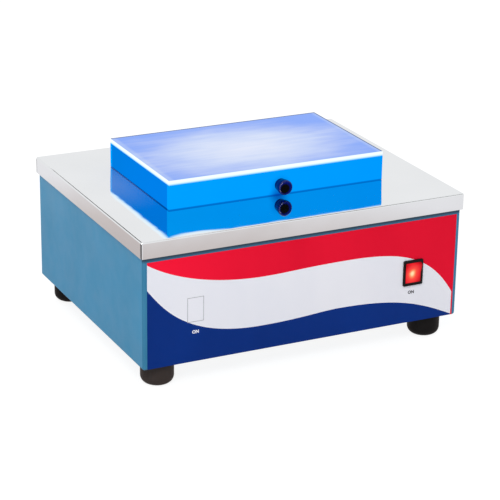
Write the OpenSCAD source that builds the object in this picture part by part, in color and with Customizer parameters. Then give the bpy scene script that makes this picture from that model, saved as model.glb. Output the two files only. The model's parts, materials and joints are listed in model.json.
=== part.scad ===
/* [Case] */
// Width of the sheet-steel case
case_w = 398; // [380:1:460]
// Depth of the case, front to back
case_d = 318; // [300:1:380]
// Height of the case up to the underside of the steel top
case_h = 150; // [140:1:190]
// Thickness of the case sheet
case_t = 1.2; // [0.8:0.1:2]
// Outer radius of the folded edges of the case
case_r = 3; // [2.2:0.1:5]
// Width of the flange folded in round the bottom
bottom_flange = 48; // [46:1:60]
// Width of the flange folded in round the top
top_flange = 16; // [14:1:20]
// Thickness of the base plate that lies on the bottom flange
base_t = 1.5; // [1:0.1:3]
// Gap between the base plate and the folds of the case
base_gap = 0.5; // [0.3:0.1:3]

/* [Feet] */
// Diameter of a rubber foot
foot_d = 38; // [30:0.5:40]
// Height of a rubber foot
foot_h = 27; // [20:0.5:35]
// Radius of the rounded lower edge of a foot
foot_round = 9; // [3:0.5:9]
// Distance of a foot's centre from the side of the case
foot_inset_x = 27.5; // [25:0.5:34]
// Distance of a foot's centre from the front and back of the case
foot_inset_y = 25.5; // [25:0.5:34]

/* [Steel top] */
// Thickness of the stainless sheet
top_t = 1; // [0.8:0.1:1.5]
// Outer radius of the folded edges of the steel top
top_r = 2; // [1.6:0.1:3]
// Height of the skirt that hangs over the case
skirt_h = 19.5; // [14:0.5:30]
// Gap between the skirt and the case
skirt_gap = 1.5; // [0.5:0.1:3]
// Width of the open seam at each end of a side skirt
seam_w = 1; // [0.4:0.1:2]
// Band of steel between the cover's walls and the window that the filter shines through
window_gap = 11; // [10:0.5:30]
// Corner radius of the window
window_r = 4; // [2:0.5:8]

/* [Filter] */
// Thickness of the filter glass
glass_t = 5; // [3:0.5:6]
// How far the filter glass reaches under the edge of the window
glass_lap = 5; // [4:0.5:6]
// Thickness of the gasket between the glass and the steel top
gasket_t = 1; // [0.6:0.1:2]
// Width of the frame outside the glass
frame_band = 13; // [11:0.5:14]
// Thickness of the frame under the glass
frame_t = 1.5; // [1:0.1:3]

/* [Cover] */
// Width of the blue cover
cover_w = 272; // [266:1:300]
// Depth of the cover
cover_d = 171; // [165:1:200]
// Height of the cover above the steel top
cover_h = 35; // [32:1:60]
// Thickness of the clear sheet on top of the cover
sheet_t = 6; // [3:0.5:8]
// Thickness of the blue walls
wall_t = 5; // [4.5:0.5:8]
// Gap under the closed cover
cover_rest = 0.3; // [0.2:0.1:0.6]
// Sideways place of the cover on the steel top
cover_x = 2.5; // [-8:0.5:8]
// Place of the cover from front to back
cover_y = 5.5; // [-6:0.5:10]

/* [Cover hinges] */
// Radius of a hinge knuckle
knuckle_r = 3; // [2.6:0.1:4]
// Radius of the hinge pin
hinge_pin_r = 1.25; // [1:0.05:1.5]
// Running clearance between the pin and the moving knuckles
hinge_play = 0.05; // [0.03:0.01:0.1]
// Thickness of a hinge leaf
leaf_t = 1; // [0.8:0.1:1.2]
// Length of one knuckle
knuckle_l = 6.5; // [5:0.5:8]
// Gap between two knuckles
knuckle_gap = 0.3; // [0.2:0.05:0.5]
// Reach of a leaf from the pin's axis
leaf_reach = 17; // [15:0.5:20]
// Distance of each hinge from the middle of the cover
hinge_x = 80; // [60:1:105]

/* [Knob] */
// Diameter of the knob's face
knob_d = 17.5; // [15:0.5:20]
// Diameter of the knob's neck
knob_neck_d = 15; // [8:0.5:15]
// Length of the knob
knob_l = 15; // [13:0.5:20]
// Distance of the knob from the middle of the cover
knob_x = 3; // [-20:0.5:20]
// Height of the knob's centre above the steel top
knob_z = 12; // [11:0.5:18]

/* [Front panel] */
// Thickness of the printed overlay
overlay_t = 0.3; // [0.2:0.05:0.5]
// Gap between the overlay and each side of the case
overlay_side_gap = 5; // [4:0.5:12]
// Gap between the skirt's lower edge and the overlay
overlay_top_gap = 5.5; // [3:0.5:10]
// Gap between the overlay and the lower edge of the case
overlay_bottom_gap = 1.2; // [0.3:0.1:5]
// Distance of the switch centre from the right end of the overlay
switch_in = 56; // [34:1:80]
// Depth of the switch centre below the steel top
switch_drop = 88; // [60:1:95]

/* [Rocker switch] */
// Width of the switch bezel
bezel_w = 25.5; // [25:0.1:28]
// Height of the switch bezel
bezel_h = 31; // [30.5:0.1:34]
// Thickness of the switch bezel
bezel_t = 2; // [1.5:0.1:3]
// Width of the switch housing
housing_w = 22.4; // [21.8:0.1:23]
// Height of the switch housing
housing_h = 28; // [27.6:0.1:28.4]
// Depth of the housing behind the panel
housing_depth = 18; // [16:0.5:24]
// Width of the rocker
rocker_w = 19.4; // [18:0.1:19.6]
// Radius that the rocker's ends turn on
rocker_r = 12.3; // [11.5:0.1:12.6]
// Gap round the rocker
rocker_gap = 0.25; // [0.2:0.05:0.3]
// Tilt of the rocker to each side of its middle
rocker_tilt = 9; // [6:0.5:10]
// Distance from the rocker's pivot to the valley of its face
rocker_valley = 3.5; // [3.2:0.1:4]

/* [Power inlet] */
// Distance of the inlet's middle from the right side of the case
inlet_from_side = 77.5; // [50:0.5:110]
// Height of the inlet's centre above the bottom of the case
inlet_z = 48; // [45:1:60]
// Width of the inlet's flange
inlet_w = 50; // [49:0.5:54]
// Height of the inlet's flange
inlet_h = 42; // [41:0.5:46]
// Thickness of the inlet's flange
inlet_flange_t = 3; // [2.5:0.5:4]
// Spacing of the two flange screws
inlet_screw_gap = 40; // [39:0.5:41]
// Depth of the inlet behind the panel
inlet_depth = 26; // [25:1:34]
// Width of the socket
socket_w = 24.4; // [24:0.1:25]
// Height of the socket
socket_h = 16.4; // [16:0.1:17]
// Depth of the socket
socket_depth = 16.5; // [15:0.5:18]
// Bevel on the socket's two upper corners
socket_bevel = 4; // [3:0.5:5]
// Width of the fuse drawer
drawer_w = 24; // [23.6:0.1:25]
// Height of the fuse drawer
drawer_h = 8; // [7.6:0.1:8.4]
// Length of the fuse drawer inside the inlet
drawer_l = 21; // [20:0.5:22]
// Gap round the fuse drawer
drawer_gap = 0.3; // [0.2:0.05:0.4]
// Height of the drawer's grip over the flange
drawer_grip = 3.3; // [2:0.1:4]

/* [Lamps] */
// Number of ultraviolet tubes
tube_count = 6; // [4:1:6]
// Distance between two tubes
tube_pitch = 25; // [22:0.5:26]
// Diameter of a tube
tube_d = 16; // [14:0.5:17]
// Length of a tube without its pins
tube_l = 288; // [260:1:292]
// Length of a tube's metal cap
cap_l = 9; // [7:0.5:12]
// Thickness of a lamp holder
holder_t = 9; // [8.5:0.5:12]
// Height of the tubes' axis above the reflector
tube_lift = 22; // [20:1:26]
// Thickness of the reflector sheet
reflector_t = 0.8; // [0.6:0.1:1.2]
// Height of the reflector's sloping sides
reflector_side_h = 30; // [20:1:34]
// Height of the rails under the reflector
rail_h = 70; // [50:1:74]
// Width of a rail
rail_w = 26; // [24:1:32]
// Thickness of the rail sheet
rail_t = 1.5; // [1:0.1:2]

/* [Electrics] */
// Length of a ballast
ballast_l = 130; // [100:1:150]
// Width of a ballast
ballast_w = 40; // [30:1:42]
// Height of a ballast
ballast_h = 28; // [20:1:34]
// Distance between two ballasts
ballast_pitch = 56; // [50:1:60]

/* [Vents] */
// Width of a vent slot
vent_w = 3; // [2:0.5:3.5]
// Length of a vent slot
vent_l = 34; // [20:1:44]
// Distance between two vent slots
vent_pitch = 9; // [7:0.5:11]
// Number of slots in a group
vent_count = 9; // [5:1:9]

/* [Screws] */
// Radius of the case screws
screw_r = 2; // [1.5:0.1:2.2]
// Clearance round a screw in its hole
screw_play = 0.15; // [0.1:0.05:0.3]
// Radius of the small screws in hinges and inlet
small_screw_r = 1.5; // [1.2:0.1:1.6]
// Height of a case screw's pan head
head_h = 2.2; // [1.6:0.1:3]
// Thickness of a nut on a case screw
nut_h = 3.2; // [2.4:0.1:4]

/* [Hidden] */
$fn = 48;

// Small amount by which a cut runs past a face
cut = 1;

// Heights of the case
z_base = foot_h;
z_rim = z_base + case_h;
z_top = z_rim + top_t;
plate_z = z_base + case_t;
plate_top = plate_z + base_t;
front_y = -case_d / 2;
rear_y = case_d / 2;

// Steel top
top_w = case_w + 2 * (skirt_gap + top_t);
top_d = case_d + 2 * (skirt_gap + top_t);

// Window inside the cover's walls
window_w = cover_w - 2 * (wall_t + window_gap);
window_d = cover_d - 2 * (wall_t + window_gap);

// Filter under the window
glass_w = window_w + 2 * glass_lap;
glass_d = window_d + 2 * glass_lap;
glass_play = 0.5;
frame_in_w = glass_w + 2 * glass_play;
frame_in_d = glass_d + 2 * glass_play;
frame_out_w = frame_in_w + 2 * frame_band;
frame_out_d = frame_in_d + 2 * frame_band;
frame_h = gasket_t + glass_t + frame_t;
frame_stud_x = frame_in_w / 2 + frame_band / 2;
frame_stud_y = frame_in_d / 2 + frame_band / 2;
frame_studs = [for (x = [-1, 0, 1], y = [-1, 1]) [cover_x + x * frame_stud_x, cover_y + y * frame_stud_y]];

// Studs that hold the steel top on the case's top flange
rim_stud_x = case_w / 2 - case_t - top_flange / 2;
rim_stud_y = case_d / 2 - case_t - top_flange / 2;
rim_studs = concat(
    [for (x = [-1, -1 / 3, 1 / 3, 1], y = [-1, 1]) [x * rim_stud_x, y * rim_stud_y]],
    [for (x = [-1, 1]) [x * rim_stud_x, 0]]);
stud_below = 2;

// Screws of the base plate, between the feet
base_screw_in = bottom_flange / 2;
base_screw_spots = concat(
    [for (x = [-1, 0, 1], y = [-1, 1])
        [x * (case_w / 4), y * (case_d / 2 - base_screw_in)]],
    [for (x = [-1, 1], y = [-1, 1]) [x * (case_w / 2 - base_screw_in), y * case_d / 3]]);
foot_spots = [for (x = [-1, 1], y = [-1, 1])
    [x * (case_w / 2 - foot_inset_x), y * (case_d / 2 - foot_inset_y)]];
foot_core = 0.5;
foot_curve = min(foot_round, foot_d / 4 - foot_core);
foot_recess_r = 6.5;
foot_recess_h = 12;

// Screw heads, washers and nuts
head_r = 2 * screw_r;
nut_r = 2 * screw_r;
nut_play = 0.05;
small_head_r = 2 * small_screw_r;
small_nut_r = 2 * small_screw_r;
small_nut_h = 2.4;
small_pan_h = 1.8;
low_pan_h = 0.9 * case_t;
pan_flat = 0.7;
pan_side = 0.5;
thread_past = 1;
hex = 6;

// Overlay on the front wall
overlay_top = z_top - skirt_h - overlay_top_gap;
overlay_bottom = z_base + overlay_bottom_gap;
overlay_w = case_w - 2 * overlay_side_gap;
overlay_h = overlay_top - overlay_bottom;
overlay_r = 1;
overlay_face = front_y - overlay_t;
switch_mid = overlay_w / 2 - switch_in;
switch_z = z_top - switch_drop;
cut_out_play = 0.2;

// Printed wave: its edges run from left to right, as shares of the overlay's width and, from the
// top, of its height; the red field also closes the right end as a narrow band
curve_steps = 12;
print_end = 0.995;
red_edge = concat(
    curve([0, 0.022], [0.06, 0.144], [0.18, 0.301], [0.37, 0.301]),
    curve([0.37, 0.301], [0.44, 0.301], [0.5, 0.28], [0.63, 0.28]),
    curve([0.63, 0.28], [0.81, 0.28], [0.915, 0.354], [print_end, 0.765]),
    [[print_end, 0.765]]);
navy_edge = concat(
    curve([0, 0.258], [0.055, 0.484], [0.13, 0.77], [0.36, 0.77]),
    curve([0.36, 0.77], [0.49, 0.77], [0.55, 0.734], [0.61, 0.734]),
    curve([0.61, 0.734], [0.81, 0.734], [0.89, 0.834], [print_end, 0.99]),
    [[print_end, 0.99]]);

// Rocker: its pivot lies just behind the overlay's face
rocker_proud = 0.3;
pivot_y = overlay_face - bezel_t - rocker_proud + rocker_valley;
pocket_r = rocker_r + rocker_gap;
pocket_w = rocker_w + 2 * rocker_gap;
rocker_back = 4;
bezel_r = 1.5;
housing_r = 0.8;
pivot_r = 1.2;
pivot_play = 0.05;
pivot_l = 0.8;
tab_w = 6.3;
tab_t = 0.8;
tab_l = 10;

// Cover
cover_z = z_top + cover_rest;
cover_front = cover_y - cover_d / 2;
cover_rear = cover_y + cover_d / 2;
cover_wall_h = cover_h - sheet_t - cover_rest;
knob_mid = cover_x + knob_x;
knob_axis_z = z_top + knob_z;
knob_screw_r = 2;
knob_screw_in = 8;
knob_screw_head_r = 3.6;
knob_neck_l = 0.2 * knob_l;
knob_flare_l = 0.6 * knob_l;
knob_round = 2.5;
knob_crown = 0.5;

// Hinges behind the cover: the axis lies one knuckle radius behind the wall and above the top
axis_y = cover_rear + knuckle_r;
axis_z = z_top + knuckle_r;
knuckles = 5;
hinge_l = knuckles * knuckle_l + (knuckles - 1) * knuckle_gap;
leaf_screw_x = hinge_l / 2 - knuckle_l;
leaf_screw_at = (knuckle_r + leaf_reach) / 2;
hinge_mids = [for (side = [-1, 1]) cover_x + side * hinge_x];
csk_h = 0.7 * leaf_t;
csk_r = 0.9 * small_head_r;
csk_play = 0.2;
csk_sink = 0.05;
skim = 0.01;
tap_l = 4;

// Inlet: the socket lies above the fuse drawer
inlet_x = case_w / 2 - inlet_from_side;
inlet_mid_z = z_base + inlet_z;
inlet_face = rear_y + inlet_flange_t;
inlet_body_w = 30;
inlet_body_h = 38;
inlet_r = 2;
socket_up = 8;
drawer_down = 12;
blade_t = 2;
blade_h = 4;
blade_gap = 7;
blade_l = 13;
earth_up = 4;
fuse_d = 5.2;
fuse_l = 20;
fuse_play = 0.3;
fuse_rest = 0.02;
tray_wall = 1.5;
tray_end = 1;
grip_over = 1;
inlet_edge = 0.3;

// Lamps, reflector and rails, all under the window
rail_z = plate_top;
reflector_z = rail_z + rail_h;
tube_z = reflector_z + reflector_t + tube_lift;
tubes_span = (tube_count - 1) * tube_pitch;
tube_rows = [for (i = [0 : tube_count - 1]) cover_y + (i - (tube_count - 1) / 2) * tube_pitch];
tube_glass_t = 0.8;
cap_t = 0.4;
cap_play = 0.05;
pin_gap = 4.75;
pin_r = 1.15;
pin_l = 7.1;
holder_gap = 0.3;
holder_w = 18;
pin_room = 0.2;
holder_mid = tube_l / 2 + holder_gap + holder_t / 2;
reflector_floor = tubes_span + tube_pitch;
reflector_slope = 0.5;
reflector_lip = 8;
reflector_past = 6;
reflector_l = tube_l + 2 * (holder_gap + holder_t + reflector_past);
rail_inset = 1;
rail_mid = reflector_l / 2 - rail_w / 2;
rail_l = reflector_floor - 2 * rail_inset;
rail_screw_in = 14;
rail_screw_x = rail_mid - rail_w / 4;
rail_screw_y = rail_l / 2 - rail_screw_in;

// Ballasts on the base plate between the rails
ballast_ys = [for (i = [-1, 0, 1]) cover_y + i * ballast_pitch];
ballast_foot = 10;
ballast_foot_t = 1.5;
ballast_shift = -40;
ballast_x = cover_x + ballast_shift;

// Terminal block and earth stud beside the inlet
terminal_x = inlet_x - inlet_body_w;
terminal_ways = 6;
terminal_pitch = 9;
terminal_w = 17;
terminal_gap = 4;
terminal_y = rear_y - base_screw_in - nut_r - terminal_w / 2 - terminal_gap;
terminal_h = 14;
terminal_cell_l = 0.75 * terminal_pitch;
terminal_cell_w = 0.6 * terminal_w;
terminal_way_r = 0.2 * terminal_pitch;
terminal_way_z = 0.3 * terminal_h;
earth_x = inlet_x + inlet_body_w;
earth_y = terminal_y;
earth_l = 14;

// Vent slots in the rear wall and in the base plate
vent_shift = 12;
vent_mids = [-case_w / 4 - vent_shift, case_w / 16 - vent_shift];
vent_z = z_base + case_h / 2;
vent_margin = 2;
base_vent_l = ballast_pitch - ballast_w - 2 * vent_margin;

// Rectangle with round corners
module rounded_plan(w, d, r) {
    square([w - 2 * r, d], center = true);
    square([w, d - 2 * r], center = true);
    for (x = [-1, 1], y = [-1, 1])
        translate([x * (w / 2 - r), y * (d / 2 - r)]) circle(r);
}

// Rectangular ring with round corners
module ring_plan(out_w, out_d, out_r, in_w, in_d, in_r) {
    difference() {
        rounded_plan(out_w, out_d, out_r);
        rounded_plan(in_w, in_d, in_r);
    }
}

// Slot with round ends, its length along Y
module slot_plan(w, l) {
    square([w, l - w], center = true);
    for (side = [-1, 1]) translate([0, side * (l - w) / 2]) circle(w / 2);
}

// Block whose upright edges and bottom edges are folded round
module folded_block(w, d, h, r) {
    translate([0, 0, r]) linear_extrude(h - r) rounded_plan(w, d, r);
    translate([0, 0, r]) cube([w - 2 * r, d - 2 * r, 2 * r], center = true);
    for (side = [-1, 1]) {
        translate([0, side * (d / 2 - r), r]) rotate([0, 90, 0])
            cylinder(r = r, h = w - 2 * r, center = true);
        translate([side * (w / 2 - r), 0, r]) rotate([90, 0, 0])
            cylinder(r = r, h = d - 2 * r, center = true);
    }
    for (x = [-1, 1], y = [-1, 1])
        translate([x * (w / 2 - r), y * (d / 2 - r), r]) sphere(r);
}

// Upright plate in the XZ plane: w along X, h along Z, t along Y from the given face backwards
module upright_plate(w, h, r, t) {
    rotate([90, 0, 0]) linear_extrude(t) rounded_plan(w, h, r);
}

// Upright bore or shaft through a spot on a level sheet
module drill(spot, r, z0, z1) {
    translate([spot[0], spot[1], z0]) cylinder(r = r, h = z1 - z0);
}

// Hexagon nut on a stud of radius r, its lower face at z = 0
module hex_nut(r, out_r, h) {
    difference() {
        cylinder(r = out_r, h = h, $fn = hex);
        translate([0, 0, -cut]) cylinder(r = r + nut_play, h = h + 2 * cut);
    }
}

// Pan-head screw that points up from z = 0, with its head below
module pan_screw(r, out_r, h_head, l) {
    rotate_extrude() polygon([[0, -h_head], [out_r * pan_flat, -h_head],
        [out_r, -h_head * pan_side], [out_r, 0], [r, 0], [r, l], [0, l]]);
}

module cabinet_shell() {
    inner_w = case_w - 2 * case_t;
    inner_d = case_d - 2 * case_t;
    color("#5090b8") difference() {
        translate([0, 0, z_base]) folded_block(case_w, case_d, case_h, case_r);
        translate([0, 0, z_base + case_t])
            folded_block(inner_w, inner_d, case_h - 2 * case_t, case_r - case_t);
        translate([0, 0, z_base - cut]) linear_extrude(case_t + 2 * cut)
            rounded_plan(case_w - 2 * bottom_flange, case_d - 2 * bottom_flange, case_r);
        translate([0, 0, z_rim - case_t - cut]) linear_extrude(case_t + 2 * cut)
            rounded_plan(inner_w - 2 * top_flange, inner_d - 2 * top_flange, case_r);
        switch_cut_out();
        inlet_cut_out();
        rear_vents();
        for (spot = base_screw_spots) drill(spot, screw_r + screw_play, z_base - cut, plate_top);
        for (spot = foot_spots) drill(spot, screw_r + screw_play, z_base - cut, plate_top);
        for (spot = rim_studs) drill(spot, screw_r + screw_play, z_rim - case_t - cut, z_rim + cut);
        for (spot = concat(rail_spots, ballast_spots))
            drill(spot, head_r + screw_play, z_base - cut, plate_z);
    }
}

module switch_cut_out() {
    translate([switch_mid, front_y + case_t + cut, switch_z])
        upright_plate(housing_w + 2 * cut_out_play, housing_h + 2 * cut_out_play, cut_out_play,
            case_t + overlay_t + 2 * cut);
}

module inlet_cut_out() {
    translate([inlet_x, rear_y + cut, inlet_mid_z])
        upright_plate(inlet_body_w + 2 * inlet_edge, inlet_body_h + 2 * inlet_edge, inlet_r,
            case_t + 2 * cut);
    for (side = [-1, 1])
        translate([inlet_x + side * inlet_screw_gap / 2, rear_y + cut, inlet_mid_z])
            rotate([90, 0, 0]) cylinder(r = small_screw_r + screw_play, h = case_t + 2 * cut);
}

module rear_vents() {
    for (mid = vent_mids, i = [0 : vent_count - 1])
        translate([mid + (i - (vent_count - 1) / 2) * vent_pitch, rear_y + cut, vent_z])
            rotate([90, 0, 0]) linear_extrude(case_t + 2 * cut) slot_plan(vent_w, vent_l);
}

module base_plate() {
    plate_w = case_w - 2 * (case_r + base_gap);
    plate_d = case_d - 2 * (case_r + base_gap);
    color("silver") difference() {
        translate([0, 0, plate_z]) linear_extrude(base_t) rounded_plan(plate_w, plate_d, case_r);
        for (spot = concat(base_screw_spots, foot_spots, rail_spots, ballast_spots))
            drill(spot, screw_r + screw_play, plate_z - cut, plate_top + cut);
        for (row = [-1, 1], i = [0 : vent_count - 1])
            translate([cover_x + (i - (vent_count - 1) / 2) * vent_pitch,
                cover_y + row * ballast_pitch / 2, plate_z - cut])
                linear_extrude(base_t + 2 * cut) slot_plan(vent_w, base_vent_l);
    }
}

module base_screws() {
    color("silver") for (spot = base_screw_spots)
        translate([spot[0], spot[1], z_base])
            pan_screw(screw_r, head_r, head_h, case_t + base_t + nut_h + thread_past);
}

module base_nuts() {
    color("silver") for (spot = base_screw_spots)
        translate([spot[0], spot[1], plate_top]) hex_nut(screw_r, nut_r, nut_h);
}

// Rubber foot: straight sides, a large round lower edge and a recess for its screw
module rubber_feet() {
    r = foot_d / 2;
    color("#1a1816") for (spot = foot_spots)
        translate([spot[0], spot[1], 0]) difference() {
            union() {
                translate([0, 0, foot_curve]) cylinder(r = r, h = foot_h - foot_curve);
                cylinder(r = r - foot_curve, h = foot_h / 2);
                translate([0, 0, foot_curve]) rotate_extrude()
                    translate([r - foot_curve, 0]) circle(foot_curve);
            }
            translate([0, 0, -cut]) cylinder(r = foot_recess_r, h = foot_recess_h + cut);
            translate([0, 0, -cut]) cylinder(r = screw_r + screw_play, h = foot_h + 2 * cut);
        }
}

module foot_screws() {
    color("silver") for (spot = foot_spots)
        translate([spot[0], spot[1], foot_recess_h])
            pan_screw(screw_r, head_r, head_h,
                foot_h - foot_recess_h + case_t + base_t + nut_h + thread_past);
}

module foot_nuts() {
    color("silver") for (spot = foot_spots)
        translate([spot[0], spot[1], plate_top]) hex_nut(screw_r, nut_r, nut_h);
}

// Folded steel tray, upside down over the case, with open seams at the ends of the side skirts
module steel_top() {
    seam_y = top_d / 2 - top_r - seam_w / 2;
    color("#e2e4e6") difference() {
        translate([0, 0, z_top]) mirror([0, 0, 1]) difference() {
            folded_block(top_w, top_d, skirt_h, top_r);
            translate([0, 0, top_t])
                folded_block(top_w - 2 * top_t, top_d - 2 * top_t, skirt_h, top_r - top_t);
        }
        translate([cover_x, cover_y, z_rim - cut]) linear_extrude(top_t + 2 * cut)
            rounded_plan(window_w, window_d, window_r);
        for (x = [-1, 1], y = [-1, 1])
            translate([x * (top_w / 2 - top_t / 2), y * seam_y, z_top - skirt_h / 2 - top_r])
                cube([top_t + cut, seam_w, skirt_h], center = true);
        for (mid = hinge_mids, side = [-1, 1])
            drill([mid + side * leaf_screw_x, axis_y + leaf_screw_at], small_screw_r + screw_play,
                z_rim - cut, z_top + cut);
    }
}

// Studs welded under the steel top: one set for the case's flange, one for the filter's frame
module top_studs() {
    color("silver") {
        for (spot = rim_studs)
            drill(spot, screw_r, z_rim - case_t - nut_h - stud_below, z_rim);
        for (spot = frame_studs)
            drill(spot, screw_r, z_rim - frame_h - nut_h - stud_below, z_rim);
    }
}

module top_nuts() {
    color("silver") for (spot = rim_studs)
        translate([spot[0], spot[1], z_rim - case_t - nut_h]) hex_nut(screw_r, nut_r, nut_h);
}

module filter_gasket() {
    color("#202020") translate([cover_x, cover_y, z_rim - gasket_t]) linear_extrude(gasket_t)
        ring_plan(glass_w, glass_d, window_r, window_w, window_d, window_r);
}

module filter_glass() {
    color("#c8d0ff") translate([cover_x, cover_y, z_rim - gasket_t - glass_t])
        linear_extrude(glass_t) rounded_plan(glass_w, glass_d, window_r);
}

// Frame with a rebate that the glass drops into
module filter_frame() {
    color("#303030") translate([cover_x, cover_y, z_rim - frame_h]) difference() {
        linear_extrude(frame_h) rounded_plan(frame_out_w, frame_out_d, window_r);
        translate([0, 0, frame_t]) linear_extrude(frame_h)
            rounded_plan(frame_in_w, frame_in_d, window_r);
        translate([0, 0, -cut]) linear_extrude(frame_h) rounded_plan(window_w, window_d, window_r);
        for (spot = frame_studs)
            drill(spot - [cover_x, cover_y], screw_r + screw_play, -cut, frame_h + cut);
    }
}

module filter_nuts() {
    color("silver") for (spot = frame_studs)
        translate([spot[0], spot[1], z_rim - frame_h - nut_h]) hex_nut(screw_r, nut_r, nut_h);
}

// Points of a cubic curve from a towards d, with the last one left out
function curve(a, b, c, d) = [for (i = [0 : curve_steps - 1])
    let (t = i / curve_steps, s = 1 - t)
        s * s * s * a + 3 * s * s * t * b + 3 * s * t * t * c + t * t * t * d];

function reverse(list) = [for (i = [len(list) - 1 : -1 : 0]) list[i]];

// One printed field of the overlay, cut out of the sheet by its outline
module printed_field(outline) {
    points = [for (p = outline) [overlay_w * (p[0] - 0.5), overlay_h * (0.5 - p[1])]];
    translate([0, front_y, overlay_bottom + overlay_h / 2]) rotate([90, 0, 0])
        linear_extrude(overlay_t) intersection() {
            rounded_plan(overlay_w, overlay_h, overlay_r);
            polygon(points);
        }
}

// Printed sheet: a red field above and a navy field below a white wave
module front_overlay() {
    difference() {
        union() {
            color("#e4163a")
                printed_field(concat(red_edge, [[print_end, 1], [1, 1], [1, 0], [0, 0]]));
            color("#e4e7ee") printed_field(concat(red_edge, reverse(navy_edge)));
            color("#0b2f80") printed_field(concat(navy_edge, [[print_end, 1], [0, 1]]));
        }
        switch_cut_out();
    }
}

module switch_body() {
    color("#141414") difference() {
        union() {
            translate([switch_mid, overlay_face, switch_z])
                upright_plate(bezel_w, bezel_h, bezel_r, bezel_t);
            translate([switch_mid, front_y + housing_depth, switch_z])
                upright_plate(housing_w, housing_h, housing_r,
                    housing_depth + overlay_t + bezel_t / 2);
        }
        translate([switch_mid, pivot_y, switch_z]) rotate([0, 90, 0])
            cylinder(r = pocket_r, h = pocket_w, center = true);
        translate([switch_mid, pivot_y, switch_z]) rotate([0, 90, 0])
            cylinder(r = pivot_r + pivot_play, h = housing_w + 2 * cut, center = true);
    }
}

// Rocker: a slice of a drum whose face is a shallow valley, turned to its ON stop
module switch_rocker() {
    reach = rocker_r * tan(rocker_tilt);
    color("#f02030") translate([switch_mid, pivot_y, switch_z]) rotate([rocker_tilt, 0, 0]) {
        rotate([0, -90, 0]) linear_extrude(rocker_w, center = true) intersection() {
            circle(rocker_r);
            polygon([[-rocker_r, -rocker_valley - reach], [0, -rocker_valley],
                [rocker_r, -rocker_valley - reach], [rocker_r, rocker_back], [-rocker_r, rocker_back]]);
        }
        rotate([0, 90, 0]) cylinder(r = pivot_r, h = rocker_w + 2 * pivot_l, center = true);
    }
}

module switch_terminals() {
    color("silver") for (x = [-1, 1], z = [-1, 1])
        translate([switch_mid + x * housing_w / 4, front_y + housing_depth + tab_l / 2,
            switch_z + z * housing_h / 5])
            cube([tab_w, tab_l, tab_t], center = true);
}

// Knuckle number i of a hinge, counted from its left end, as a ring about the axis
module knuckle(i, bore_r) {
    pitch = knuckle_l + knuckle_gap;
    translate([(i - (knuckles - 1) / 2) * pitch, axis_y, axis_z]) rotate([0, 90, 0])
        difference() {
            cylinder(r = knuckle_r, h = knuckle_l, center = true);
            cylinder(r = bore_r, h = knuckle_l + 2 * cut, center = true);
        }
}

// Space that the other leaf's knuckles turn in
module knuckle_room(numbers) {
    pitch = knuckle_l + knuckle_gap;
    room_r = knuckle_r + knuckle_gap;
    for (i = numbers)
        translate([(i - (knuckles - 1) / 2) * pitch, axis_y, axis_z]) rotate([0, 90, 0])
            cylinder(r = room_r, h = knuckle_l + 2 * knuckle_gap, center = true);
}

module hinge_fixed_leaves() {
    color("silver") for (mid = hinge_mids) translate([mid, 0, 0]) {
        for (i = [0, 2, 4]) knuckle(i, hinge_pin_r);
        difference() {
            translate([-hinge_l / 2, axis_y, z_top]) cube([hinge_l, leaf_reach, leaf_t]);
            knuckle_room([1, 3]);
            translate([0, axis_y, axis_z]) rotate([0, 90, 0])
                cylinder(r = hinge_pin_r + skim, h = hinge_l + cut, center = true);
            for (side = [-1, 1])
                translate([side * leaf_screw_x, axis_y + leaf_screw_at, z_top]) leaf_hole();
        }
    }
}

// Countersunk hole through a leaf whose outer face lies at z = leaf_t
module leaf_hole() {
    translate([0, 0, -cut]) cylinder(r = small_screw_r + screw_play, h = leaf_t + 2 * cut);
    translate([0, 0, leaf_t - csk_h]) cylinder(r1 = small_screw_r + screw_play,
        r2 = csk_r, h = csk_h + skim);
}

// Countersunk screw whose head fills a leaf's hole, its tip below
module leaf_screw(l) {
    rotate_extrude() polygon([[0, leaf_t - csk_sink], [csk_r - csk_play, leaf_t - csk_sink],
        [small_screw_r, leaf_t - csk_h], [small_screw_r, -l], [0, -l]]);
}

module hinge_moving_leaves() {
    color("silver") for (mid = hinge_mids) translate([mid, 0, 0]) {
        for (i = [1, 3]) knuckle(i, hinge_pin_r + hinge_play);
        difference() {
            translate([-hinge_l / 2, cover_rear, axis_z]) cube([hinge_l, leaf_t, leaf_reach]);
            knuckle_room([0, 2, 4]);
            for (side = [-1, 1])
                translate([side * leaf_screw_x, cover_rear, axis_z + leaf_screw_at])
                    rotate([-90, 0, 0]) leaf_hole();
        }
    }
}

module hinge_pins() {
    color("silver") for (mid = hinge_mids)
        translate([mid, axis_y, axis_z]) rotate([0, 90, 0])
            cylinder(r = hinge_pin_r, h = hinge_l, center = true);
}

module hinge_top_screws() {
    color("silver") for (mid = hinge_mids, side = [-1, 1])
        translate([mid + side * leaf_screw_x, axis_y + leaf_screw_at, z_top])
            leaf_screw(top_t + small_nut_h + thread_past);
}

module hinge_top_nuts() {
    color("silver") for (mid = hinge_mids, side = [-1, 1])
        translate([mid + side * leaf_screw_x, axis_y + leaf_screw_at, z_rim - small_nut_h])
            hex_nut(small_screw_r, small_nut_r, small_nut_h);
}

module hinge_cover_screws() {
    color("silver") for (mid = hinge_mids, side = [-1, 1])
        translate([mid + side * leaf_screw_x, cover_rear, axis_z + leaf_screw_at])
            rotate([-90, 0, 0]) leaf_screw(tap_l);
}

module cover_top_sheet() {
    color("#c8dcff") translate([cover_x, cover_y, cover_z + cover_wall_h + sheet_t / 2])
        cube([cover_w, cover_d, sheet_t], center = true);
}

module cover_front_wall() {
    color("#0096ff") difference() {
        translate([cover_x, cover_front + wall_t / 2, cover_z + cover_wall_h / 2])
            cube([cover_w, wall_t, cover_wall_h], center = true);
        translate([knob_mid, cover_front - cut, knob_axis_z]) rotate([-90, 0, 0])
            cylinder(r = knob_screw_r + screw_play, h = wall_t + 2 * cut);
    }
}

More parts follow.
